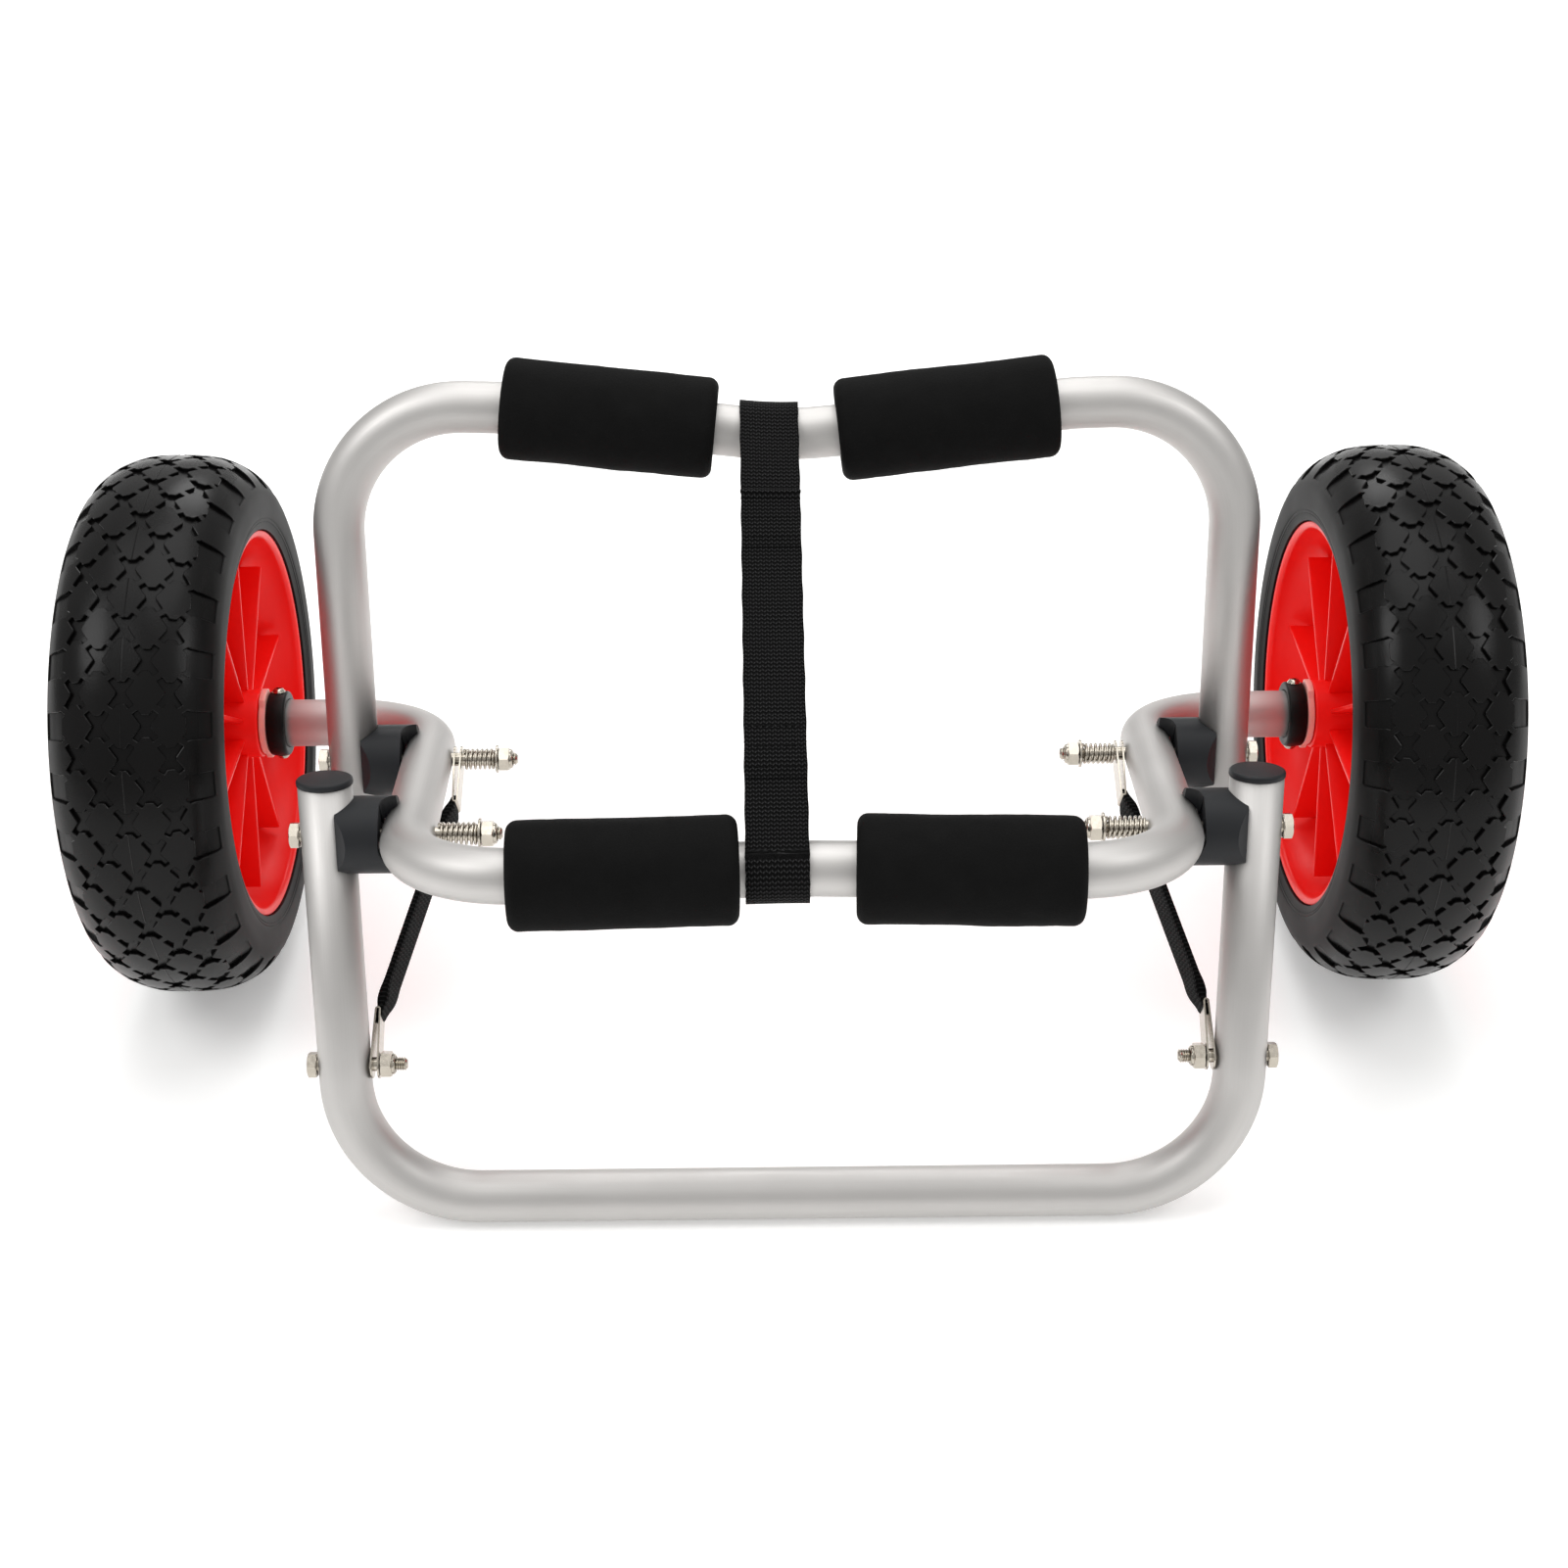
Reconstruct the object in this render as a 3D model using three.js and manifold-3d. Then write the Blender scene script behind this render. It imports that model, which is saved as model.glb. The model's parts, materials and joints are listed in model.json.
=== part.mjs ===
// Folding kayak cart: a bent axle frame on two wheels, with an upper frame and a kickstand that fold
// on four spring-loaded pivots, foam hull pads, a centre strap and two limit straps.
// Millimetres. +X runs along the axle, +Y to the rear, +Z up. The origin is on the ground,
// below the middle of the cart.

import * as THREE from 'three';
import { mergeVertices } from 'three/addons/utils/BufferGeometryUtils.js';
import Module from 'manifold-3d';

const wasm = await Module();
wasm.setup();

// Clearance between touching pieces, and the run of a cut past its piece
const clearance = 0.3;
const overrun = 2;

// Frame tubing
const tubeDiameter = 22.2;
const tubeWall = 1.6;
const tubeSides = 14;
const tubeBoreSides = 8;
const bendStep = THREE.MathUtils.degToRad(18);
const dipBendRadius = 180;

// Axle frame, from the axle towards the front: a bend, a straight run to the rear pivot, the run to
// the front pivot, a straight run, and the bend into the front bar
const armBendRadius = 46;
const rearStraight = 13.8;
const pivotSpacing = 100.8;
const frontStraight = 6.6;
const frontBarDip = 8;
const rearArmSpread = 163;
const frontArmSpread = 157;

// Upper frame, measured up from the rear pivots
const upperBarHeight = 158.9;
const upperBarDip = 13.8;
const upperBarStraight = 16;
const upperBarDipStartRadius = 250;
const upperBendRadius = 55;
const upperLegTail = 21.7;

// Kickstand, measured from the front pivots
const kickstandDrop = 166.4;
const kickstandTail = 21.7;
const kickstandBendRadius = 55;
const strapBoltAboveBend = 8.2;

// How far the pivots fold
const foldRange = THREE.MathUtils.degToRad(65);

// Saddles between leg and arm, with the plastic left between the two tubes
const saddleCore = 10.8;
const saddleBrim = 4.9;
const saddleWrap = 6.1;
const saddleSides = 18;

// M6 hardware
const boltDiameter = 6;
const boltSides = 10;
const holeSides = 8;
const boltBoreClearance = 0.3;
const hexWall = 2;
const headHeight = 4;
const nutHeight = 4.8;
const nutCollarWall = 1.3;
const nutCollarHeight = 1.4;
const pivotThreadEnd = 2.2;
const strapThreadEnd = 5;
const washerBrim = 1.5;
const washerThickness = 1;
const washerSides = 12;

// Springs on the pivot bolts
const springWire = 1.2;
const springEase = 0.6;
const rearSpringLength = 14.5;
const frontSpringLength = 16.5;
const rearSpringCurls = 6;
const frontSpringCurls = 7;
const stepsPerCurl = 8;
const wireSides = 5;

// Plastic end caps of the legs
const capBrim = 0.9;
const capThickness = 2.5;
const capPlugDepth = 10;

// Foam pads, with their two ends along X as shares of the half of the bar that carries them
const padWall = 10.9;
const padEdgeRadius = 4;
const padEdgeSteps = 2;
const padSides = 18;
const upperLeftPadShares = [-0.9768, -0.248];
const upperRightPadShares = [0.176, 0.9272];
const frontLeftPadShares = [-0.7266, -0.141];
const frontRightPadShares = [0.1612, 0.7376];

// Centre strap round both crossbars
const centreStrapWidth = 25.4;
const centreStrapThickness = 1.8;
const centreStrapOffset = -7;
const centreStrapEase = 0.75;
const strapTurnSteps = 10;

// Steel links and webbing of the limit straps
const linkWidth = 12;
const linkPlate = 0.8;
const linkReach = 24;
const linkEndSteps = 5;
const limitStrapBorder = 2;
const limitStrapThickness = 3.4;
const limitStrapPly = 1.5;
const limitStrapHold = 9;
const limitStrapNeck = 3;

// Wheels: tyre heights run inwards from the tread, rim depths inwards from the tyre's seat
const wheelDiameter = 254;
const wheelRoom = 33.5;
const wheelSegments = 24;
const tyreWidth = 74;
const tyreHeight = 35.5;
const tyreShoulderHeight = 22;
const treadFlatWidth = 12;
const crownSteps = 4;
const rimInset = 4.5;
const rimLipWall = 3.5;
const dishFlare = 32;
const dishWall = 4;
const dishSteps = 3;
const hubWall = 3.1;
const hubInnerReach = 31.4;
const hubOuterReach = 23.5;
const ribCount = 10;
const ribThickness = 2;
const ribLipGap = 6;
const ribEndHeight = 26;
const ribSetback = 6.5;
const ribSink = 1.5;

// Hub bushes, washers and the collars that hold the wheels on the axle
const bushWall = 1.2;
const hubWasherBrim = 1;
const innerWasherThickness = 4.6;
const outerWasherThickness = 1.4;
const axleRingSides = 18;
const collarWall = 4.1;
const collarWidth = 8.5;
const collarScrewDiameter = 4;
const collarScrewHeadDiameter = 7;
const collarScrewHeadHeight = 1.8;
const wheelPinDiameter = 5;
const wheelPinHeadDiameter = 9;
const wheelPinHeadHeight = 2;
const wheelPinTail = 4;
const wheelPinOffset = 2;
const axleTail = 3;
const axlePlugThickness = 1.8;
const axlePlugDepth = 1.5;

// Sizes that follow from the ones above
const tubeRadius = tubeDiameter / 2;
const tubeBoreRadius = tubeRadius - tubeWall;
const wheelRadius = wheelDiameter / 2;
const boltRadius = boltDiameter / 2;
const boltBoreRadius = boltRadius + boltBoreClearance;
const hexSides = 6;
const hexRadius = (boltRadius + hexWall) / Math.cos(Math.PI / hexSides);
const springDiameter = boltDiameter + 2 * (springEase + springWire);
const washerRadius = springDiameter / 2 + washerBrim;
const linkGap = limitStrapPly + 2 * clearance;
const linkThickness = 2 * linkPlate + linkGap;
const limitStrapWidth = linkWidth + 2 * limitStrapBorder;
const axleHeight = wheelRadius;
const footDrop = tubeRadius * Math.cos(Math.PI / tubeSides);
const rearPivotReach = armBendRadius + rearStraight;
const frontPivotReach = rearPivotReach + pivotSpacing;
const frontBarReach = frontPivotReach + frontStraight + armBendRadius;
const armSlope = (rearArmSpread - frontArmSpread) / pivotSpacing;
const armSpreadAt = (reach) => rearArmSpread - armSlope * (reach - rearPivotReach);
const pivotStandoff = tubeDiameter + saddleCore;
const upperLegSpread = rearArmSpread + pivotStandoff;
const kickstandSpread = frontArmSpread + pivotStandoff;
const upperBarDipStart = upperLegSpread - upperBendRadius - upperBarStraight;
const strapBoltDrop = kickstandDrop - kickstandBendRadius - strapBoltAboveBend;
const headSeatGap = tubeRadius + clearance;
const wheelMiddleX = upperLegSpread + headSeatGap + headHeight + wheelRoom + tyreWidth / 2;
const tyreSeatRadius = wheelRadius - tyreHeight;
const tyreShoulderRadius = wheelRadius - tyreShoulderHeight;
const rimWidth = tyreWidth - 2 * rimInset;
const rimLipRadius = tyreSeatRadius - rimLipWall;
const dishRadius = rimLipRadius - dishFlare;
const ribReachRadius = rimLipRadius - ribLipGap;
const hubBore = tubeRadius + 2 * clearance + bushWall;
const hubRadius = hubBore + hubWall;
const hubWasherRadius = hubRadius + hubWasherBrim;
const collarRadius = tubeRadius + clearance + collarWall;

// The frame tilts until the tyres and the kickstand's crossbar stand on the same ground
const footDistance = Math.hypot(frontPivotReach, kickstandDrop);
const footAngle = Math.atan2(kickstandDrop, frontPivotReach);
const tilt = footAngle + Math.asin((footDrop - axleHeight) / footDistance);

// Corners closer than this are one corner
const mergeDistance = 1e-4;

// Finishes of the real pieces
const finishes = {
  aluminium: { color: 0xb9b8b6, roughness: 0.38, metalness: 0.9 },
  foam: { color: 0x111112, roughness: 0.95, metalness: 0 },
  webbing: { color: 0x151517, roughness: 0.9, metalness: 0 },
  plastic: { color: 0x2b2c30, roughness: 0.6, metalness: 0 },
  collarPlastic: { color: 0x17171a, roughness: 0.55, metalness: 0 },
  steel: { color: 0xc9c4b8, roughness: 0.25, metalness: 1 },
  tyre: { color: 0x1b1b1d, roughness: 0.75, metalness: 0 },
  rim: { color: 0xe8150f, roughness: 0.4, metalness: 0 },
  nylon: { color: 0xf2e9e6, roughness: 0.5, metalness: 0 },
};

// Closed position-only geometry with its faces pointing out
function closed(geometry) {
  const bare = geometry.clone();
  bare.deleteAttribute('normal');
  bare.deleteAttribute('uv');
  const merged = mergeVertices(bare, mergeDistance);
  const position = merged.attributes.position;
  const index = merged.index.array;
  const corner = [new THREE.Vector3(), new THREE.Vector3(), new THREE.Vector3()];
  const kept = [];
  let volume = 0;
  for (let i = 0; i < index.length; i += 3) {
    const [a, b, c] = [index[i], index[i + 1], index[i + 2]];
    if (a !== b && b !== c && c !== a) {
      kept.push(a, b, c);
      corner[0].fromBufferAttribute(position, a);
      corner[1].fromBufferAttribute(position, b);
      corner[2].fromBufferAttribute(position, c);
      volume += corner[0].dot(corner[1].cross(corner[2]));
    }
  }
  merged.setIndex(volume < 0 ? kept.reverse() : kept);
  return merged;
}

// Solid for joining and cutting
function solid(geometry) {
  const body = closed(geometry);
  const vertProperties = new Float32Array(body.attributes.position.array);
  const triVerts = new Uint32Array(body.index.array);
  return new wasm.Manifold(new wasm.Mesh({ numProp: 3, vertProperties, triVerts }));
}

// Geometry of a joined or cut solid
function geometryOf(body) {
  const mesh = body.getMesh();
  const geometry = new THREE.BufferGeometry();
  geometry.setAttribute('position', new THREE.BufferAttribute(mesh.vertProperties, 3));
  geometry.setIndex(Array.from(mesh.triVerts));
  return geometry;
}

function joined(geometries) {
  const [first, ...rest] = geometries.map(solid);
  return geometryOf(rest.reduce((whole, next) => whole.add(next), first));
}

function cut(geometry, tools) {
  return geometryOf(tools.map(solid).reduce((whole, tool) => whole.subtract(tool), solid(geometry)));
}

// Turns a geometry that stands along Y so that it runs from one point to another
function along(geometry, from, to) {
  const direction = to.clone().sub(from).normalize();
  const turn = new THREE.Quaternion().setFromUnitVectors(new THREE.Vector3(0, 1, 0), direction);
  const middle = from.clone().add(to).divideScalar(2);
  return geometry.applyQuaternion(turn).translate(middle.x, middle.y, middle.z);
}

// Cutter of a round hole, whose flats lie on the hole's radius
function drill(radius, from, to) {
  return rod(radius / Math.cos(Math.PI / holeSides), from, to, holeSides);
}

function rod(radius, from, to, sides) {
  return along(new THREE.CylinderGeometry(radius, radius, from.distanceTo(to), sides), from, to);
}

// Body turned about the X axis from an outline of [x, radius] points, its flats on those radii
function turned(outline, sides) {
  const facet = Math.PI / sides;
  const points = outline.map(([x, radius]) => new THREE.Vector2(radius / Math.cos(facet), x));
  const geometry = new THREE.LatheGeometry(points, sides).rotateY(Math.PI / 2 + facet);
  return geometry.rotateZ(-Math.PI / 2);
}

function ring(fromX, toX, outerRadius, innerRadius, sides) {
  const section = [[fromX, innerRadius], [toX, innerRadius], [toX, outerRadius], [fromX, outerRadius]];
  return turned([...section, section[0]], sides);
}

// Round tube section with its facets turned by an angle; without a bore it is a bar
function tubeSection(outerRadius, boreRadius, turn) {
  const polygon = (radius, sides) => Array.from({ length: sides }, (_, i) => {
    const angle = turn + (2 * Math.PI * (i + 1 / 2)) / sides;
    return new THREE.Vector2(radius * Math.cos(angle), radius * Math.sin(angle));
  });
  const shape = new THREE.Shape(polygon(outerRadius, tubeSides));
  if (boreRadius > 0) shape.holes.push(new THREE.Path(polygon(boreRadius, tubeBoreSides)));
  return shape;
}

// Flat route of straight runs and round bends, with stations only where the tube turns
class BentRoute extends THREE.Curve {
  constructor(corners, planeNormal) {
    super();
    this.planeNormal = planeNormal;
    this.stations = [];
    corners.forEach((corner, i) => {
      const before = i > 0 ? corner.at.clone().sub(corners[i - 1].at).normalize() : null;
      const after = i < corners.length - 1 ? corners[i + 1].at.clone().sub(corner.at).normalize() : null;
      if (!before || !after) this.stations.push({ point: corner.at.clone(), tangent: before ?? after });
      else this.addBend(corner, before, after);
    });
  }

  addBend(corner, before, after) {
    const turn = before.angleTo(after);
    const side = after.clone().addScaledVector(before, -Math.cos(turn)).normalize();
    const start = corner.at.clone().addScaledVector(before, -corner.radius * Math.tan(turn / 2));
    const steps = Math.max(2, Math.ceil(turn / bendStep));
    for (let k = 0; k <= steps; k += 1) {
      const angle = (turn * k) / steps;
      const point = start.clone().addScaledVector(before, corner.radius * Math.sin(angle));
      point.addScaledVector(side, corner.radius * (1 - Math.cos(angle)));
      const tangent = before.clone().multiplyScalar(Math.cos(angle));
      this.stations.push({ point, tangent: tangent.addScaledVector(side, Math.sin(angle)) });
    }
  }

  getSpacedPoints() {
    return this.stations.map((station) => station.point);
  }

  computeFrenetFrames() {
    const tangents = this.stations.map((station) => station.tangent);
    const binormals = tangents.map(() => this.planeNormal.clone());
    const normals = tangents.map((tangent) => this.planeNormal.clone().cross(tangent));
    return { tangents, normals, binormals };
  }
}

function bentTube(route, outerRadius, boreRadius, turn) {
  const shape = tubeSection(outerRadius, boreRadius, turn);
  return new THREE.ExtrudeGeometry(shape, { steps: route.stations.length - 1, extrudePath: route });
}

// Tree: the cart stands on the ground, the chassis tilts about the axle, and halves are mirrored
const cart = new THREE.Group();
const wheelAxis = new THREE.Group();
const chassis = new THREE.Group();
wheelAxis.position.set(0, 0, axleHeight);
chassis.position.set(0, 0, axleHeight);
chassis.rotation.set(-tilt, 0, 0);
cart.add(wheelAxis, chassis);

function addPiece(parent, name, geometry, finish) {
  const mesh = new THREE.Mesh(closed(geometry), new THREE.MeshStandardMaterial(finishes[finish]));
  mesh.name = name;
  parent.add(mesh);
}

function addHalf(parent, side) {
  const half = new THREE.Group();
  half.scale.x = side;
  parent.add(half);
  return half;
}

const sides = [
  { side: -1, word: 'left' },
  { side: 1, word: 'right' },
];

// Places in the chassis frame: reach runs forward from the axle, height up from the frame's plane
const place = (x, reach, height) => new THREE.Vector3(x, -reach, height);
const hubInnerX = wheelMiddleX - hubInnerReach;
const hubOuterX = wheelMiddleX + hubOuterReach;
const innerWasherX = hubInnerX - clearance - innerWasherThickness;
const collarX = innerWasherX - clearance - collarWidth;
const outerWasherX = hubOuterX + clearance;
const wheelPinX = outerWasherX + outerWasherThickness + wheelPinOffset + wheelPinDiameter / 2;
const axleEndX = wheelPinX + wheelPinDiameter / 2 + axleTail;

// Axle frame tube with its through holes
const axleRoute = new BentRoute([
  { at: place(-axleEndX, 0, 0) },
  { at: place(-armSpreadAt(0), 0, 0), radius: armBendRadius },
  { at: place(-armSpreadAt(frontBarReach), frontBarReach, 0), radius: armBendRadius },
  { at: place(0, frontBarReach - frontBarDip, 0), radius: dipBendRadius },
  { at: place(armSpreadAt(frontBarReach), frontBarReach, 0), radius: armBendRadius },
  { at: place(armSpreadAt(0), 0, 0), radius: armBendRadius },
  { at: place(axleEndX, 0, 0) },
], new THREE.Vector3(0, 0, 1));

// Hole through the tube along X at a pivot, and along Z at the collars and wheel pins
const crossHole = (x, reach, height, radius) => drill(
  radius,
  place(x - tubeRadius - overrun, reach, height),
  place(x + tubeRadius + overrun, reach, height),
);
const downHole = (x, radius) => drill(
  radius,
  place(x, 0, -tubeRadius - overrun),
  place(x, 0, tubeRadius + overrun),
);
const collarScrewX = collarX + collarWidth / 2;
const axleHoles = sides.flatMap(({ side }) => [
  crossHole(side * rearArmSpread, rearPivotReach, 0, boltBoreRadius),
  crossHole(side * frontArmSpread, frontPivotReach, 0, boltBoreRadius),
  downHole(side * collarScrewX, collarScrewDiameter / 2 + clearance),
  downHole(side * wheelPinX, wheelPinDiameter / 2 + clearance),
]);
const axleFrame = bentTube(axleRoute, tubeRadius, tubeBoreRadius, 0);
addPiece(chassis, 'axle_frame_tube', cut(axleFrame, axleHoles), 'aluminium');

// Upper frame tube
const upperRoute = new BentRoute([
  { at: place(-upperLegSpread, rearPivotReach, -upperLegTail) },
  { at: place(-upperLegSpread, rearPivotReach, upperBarHeight), radius: upperBendRadius },
  { at: place(-upperBarDipStart, rearPivotReach, upperBarHeight), radius: upperBarDipStartRadius },
  { at: place(0, rearPivotReach, upperBarHeight - upperBarDip), radius: dipBendRadius },
  { at: place(upperBarDipStart, rearPivotReach, upperBarHeight), radius: upperBarDipStartRadius },
  { at: place(upperLegSpread, rearPivotReach, upperBarHeight), radius: upperBendRadius },
  { at: place(upperLegSpread, rearPivotReach, -upperLegTail) },
], new THREE.Vector3(0, 1, 0));
const upperHoles = sides.map(({ side }) => (
  crossHole(side * upperLegSpread, rearPivotReach, 0, boltBoreRadius)
));
const upperFrame = bentTube(upperRoute, tubeRadius, tubeBoreRadius, 0);
addPiece(chassis, 'upper_frame_tube', cut(upperFrame, upperHoles), 'aluminium');

// Kickstand tube, its facets turned so that one lies flat on the ground
const kickstandRoute = new BentRoute([
  { at: place(-kickstandSpread, frontPivotReach, kickstandTail) },
  { at: place(-kickstandSpread, frontPivotReach, -kickstandDrop), radius: kickstandBendRadius },
  { at: place(kickstandSpread, frontPivotReach, -kickstandDrop), radius: kickstandBendRadius },
  { at: place(kickstandSpread, frontPivotReach, kickstandTail) },
], new THREE.Vector3(0, 1, 0));
const kickstandHoles = sides.flatMap(({ side }) => [
  crossHole(side * kickstandSpread, frontPivotReach, 0, boltBoreRadius),
  crossHole(side * kickstandSpread, frontPivotReach, -strapBoltDrop, boltBoreRadius),
]);
const kickstand = bentTube(kickstandRoute, tubeRadius, tubeBoreRadius, tilt);
addPiece(chassis, 'kickstand_tube', cut(kickstand, kickstandHoles), 'aluminium');

// Foam pads: rounded sleeves cut by the crossbar that they are pushed over
function padGeometry(from, to, route) {
  const half = from.distanceTo(to) / 2;
  const radius = tubeRadius + padWall;
  const edge = Array.from({ length: padEdgeSteps + 1 }, (_, i) => {
    const angle = (Math.PI / 2 * i) / padEdgeSteps;
    return new THREE.Vector2(
      radius - padEdgeRadius * (1 - Math.sin(angle)),
      half - padEdgeRadius * (1 - Math.cos(angle)),
    );
  });
  const upperEdge = edge.map((point) => point.clone());
  const lowerEdge = edge.map((point) => new THREE.Vector2(point.x, -point.y)).reverse();
  const outline = [new THREE.Vector2(0, half), ...upperEdge, ...lowerEdge, new THREE.Vector2(0, -half)];
  const sleeve = along(new THREE.LatheGeometry(outline, padSides), from, to);
  return cut(sleeve, [bentTube(route, tubeRadius + clearance, 0, 0)]);
}

const upperBarAt = (x) => upperBarHeight - upperBarDip * (1 - Math.abs(x) / upperBarDipStart);
const frontBarAt = (x) => frontBarReach - frontBarDip * (1 - Math.abs(x) / armSpreadAt(frontBarReach));
const onUpperBar = (x) => place(x, rearPivotReach, upperBarAt(x));
const onFrontBar = (x) => place(x, frontBarAt(x), 0);
const upperPadEnds = (shares) => shares.map((share) => onUpperBar(share * upperBarDipStart));
const frontPadEnds = (shares) => shares.map((share) => onFrontBar(share * armSpreadAt(frontBarReach)));
const pads = [
  { name: 'upper_left_pad', span: upperPadEnds(upperLeftPadShares), route: upperRoute },
  { name: 'upper_right_pad', span: upperPadEnds(upperRightPadShares), route: upperRoute },
  { name: 'front_left_pad', span: frontPadEnds(frontLeftPadShares), route: axleRoute },
  { name: 'front_right_pad', span: frontPadEnds(frontRightPadShares), route: axleRoute },
];
pads.forEach(({ name, span, route }) => addPiece(chassis, name, padGeometry(...span, route), 'foam'));

// Centre strap: a flat loop round both crossbars
function centreStrap() {
  const farEdge = centreStrapWidth / 2 + Math.abs(centreStrapOffset);
  const upper = place(0, rearPivotReach, upperBarAt(farEdge));
  const front = place(0, frontBarAt(farEdge), 0);
  const run = front.distanceTo(upper);
  const loop = (radius) => Array.from({ length: 2 * (strapTurnSteps + 1) }, (_, i) => {
    const end = i > strapTurnSteps ? 1 : 0;
    const angle = (Math.PI * (i - end * (strapTurnSteps + 1))) / strapTurnSteps + end * Math.PI;
    return new THREE.Vector2(radius * Math.cos(angle), radius * Math.sin(angle) + (end ? 0 : run));
  });
  const inner = tubeRadius + centreStrapEase;
  const shape = new THREE.Shape(loop(inner + centreStrapThickness));
  shape.holes.push(new THREE.Path(loop(inner)));
  const band = new THREE.ExtrudeGeometry(shape, { depth: centreStrapWidth, bevelEnabled: false });
  const lean = Math.atan2(upper.y - front.y, upper.z - front.z);
  band.rotateY(Math.PI / 2).translate(centreStrapOffset - centreStrapWidth / 2, 0, 0);
  band.rotateX(Math.PI / 2 - lean);
  return band.translate(front.x, front.y, front.z);
}
addPiece(chassis, 'centre_strap', centreStrap(), 'webbing');

// Pieces of one sprung pivot. A rear pivot carries an upper leg and a limit strap's upper link,
// and a front pivot carries a kickstand leg.
const pivots = [
  {
    word: 'rear',
    reach: rearPivotReach,
    arm: rearArmSpread,
    tail: -upperLegTail,
    springLength: rearSpringLength,
    curls: rearSpringCurls,
    link: true,
  },
  {
    word: 'front',
    reach: frontPivotReach,
    arm: frontArmSpread,
    tail: kickstandTail,
    springLength: frontSpringLength,
    curls: frontSpringCurls,
    link: false,
  },
];

// Saddle: a round block hollowed for the leg, and for the arm at both ends of the fold and between
function saddle(pivot) {
  const legX = pivot.arm + pivotStandoff;
  const reachIn = tubeRadius - saddleWrap;
  const blockRadius = tubeRadius + saddleBrim;
  const block = rod(
    blockRadius,
    place(pivot.arm + reachIn, pivot.reach, 0),
    place(legX - reachIn, pivot.reach, 0),
    saddleSides,
  );
  const grooveRadius = tubeRadius + clearance;
  const grooveHalf = blockRadius + overrun;
  const legGroove = rod(
    grooveRadius / Math.cos(Math.PI / saddleSides),
    place(legX, pivot.reach, -grooveHalf),
    place(legX, pivot.reach, grooveHalf),
    saddleSides,
  );
  const armGrooves = [0, -foldRange].map((angle) => rod(
    grooveRadius / Math.cos(Math.PI / saddleSides),
    new THREE.Vector3(armSlope * grooveHalf, grooveHalf, 0),
    new THREE.Vector3(-armSlope * grooveHalf, -grooveHalf, 0),
    saddleSides,
  ).rotateX(angle));
  const waist = tubeRadius / 2;
  const sweepHalf = grooveHalf * Math.tan(foldRange / 2);
  const sweepOutline = new THREE.Shape([
    new THREE.Vector2(sweepHalf, grooveHalf),
    new THREE.Vector2(waist, 0),
    new THREE.Vector2(sweepHalf, -grooveHalf),
    new THREE.Vector2(-sweepHalf, -grooveHalf),
    new THREE.Vector2(-waist, 0),
    new THREE.Vector2(-sweepHalf, grooveHalf),
  ]);
  const sweep = new THREE.ExtrudeGeometry(sweepOutline, { depth: 2 * grooveRadius, bevelEnabled: false });
  sweep.rotateY(Math.PI / 2).translate(-grooveRadius, 0, 0);
  sweep.applyMatrix4(new THREE.Matrix4().makeShear(0, 0, armSlope / Math.cos(foldRange / 2), 0, 0, 0));
  sweep.rotateX(-foldRange / 2);
  armGrooves.push(sweep);
  armGrooves.forEach((groove) => groove.translate(pivot.arm, -pivot.reach, 0));
  const boltHole = drill(boltBoreRadius, place(pivot.arm, pivot.reach, 0), place(legX, pivot.reach, 0));
  return cut(block, [legGroove, ...armGrooves, boltHole]);
}

// Hexagon-headed bolt along X, from the outer side of a tube inwards
function bolt(seatX, endX, reach, height) {
  const at = (x) => place(x, reach, height);
  const shank = rod(boltRadius, at(endX), at(seatX + headHeight / 2), boltSides);
  const head = rod(hexRadius, at(seatX), at(seatX + headHeight), hexSides);
  return joined([shank, head]);
}

// Locking nut along X: the hexagon faces outwards, and its collar points inwards
function nut(seatX, reach, height) {
  const hexEnd = seatX - nutHeight;
  const collarEnd = hexEnd - nutCollarHeight;
  const hexagon = rod(hexRadius, place(hexEnd, reach, height), place(seatX, reach, height), hexSides);
  const collar = rod(
    boltRadius + nutCollarWall,
    place(collarEnd, reach, height),
    place(hexEnd + nutCollarHeight, reach, height),
    boltSides,
  );
  const hole = drill(
    boltBoreRadius,
    place(collarEnd - overrun, reach, height),
    place(seatX + overrun, reach, height),
  );
  return cut(joined([hexagon, collar]), [hole]);
}

function washer(seatX, reach, height) {
  const disc = ring(seatX - washerThickness, seatX, washerRadius, boltBoreRadius, washerSides);
  return disc.translate(0, -reach, height);
}

// Centre line of a spring along X: straight ends square to its seats, and evenly spaced curls
function springLine(fromX, length, curls) {
  const radius = (springDiameter - springWire) / 2;
  const coilLength = length - 2 * springWire;
  const steps = curls * stepsPerCurl;
  const points = [new THREE.Vector3(fromX, 0, radius)];
  for (let i = 0; i <= steps; i += 1) {
    const angle = (2 * Math.PI * i) / stepsPerCurl;
    const x = fromX - springWire - (coilLength * i) / steps;
    points.push(new THREE.Vector3(x, radius * Math.sin(angle), radius * Math.cos(angle)));
  }
  const last = points[points.length - 1];
  points.push(new THREE.Vector3(fromX - length, last.y, last.z));
  return points;
}

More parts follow.
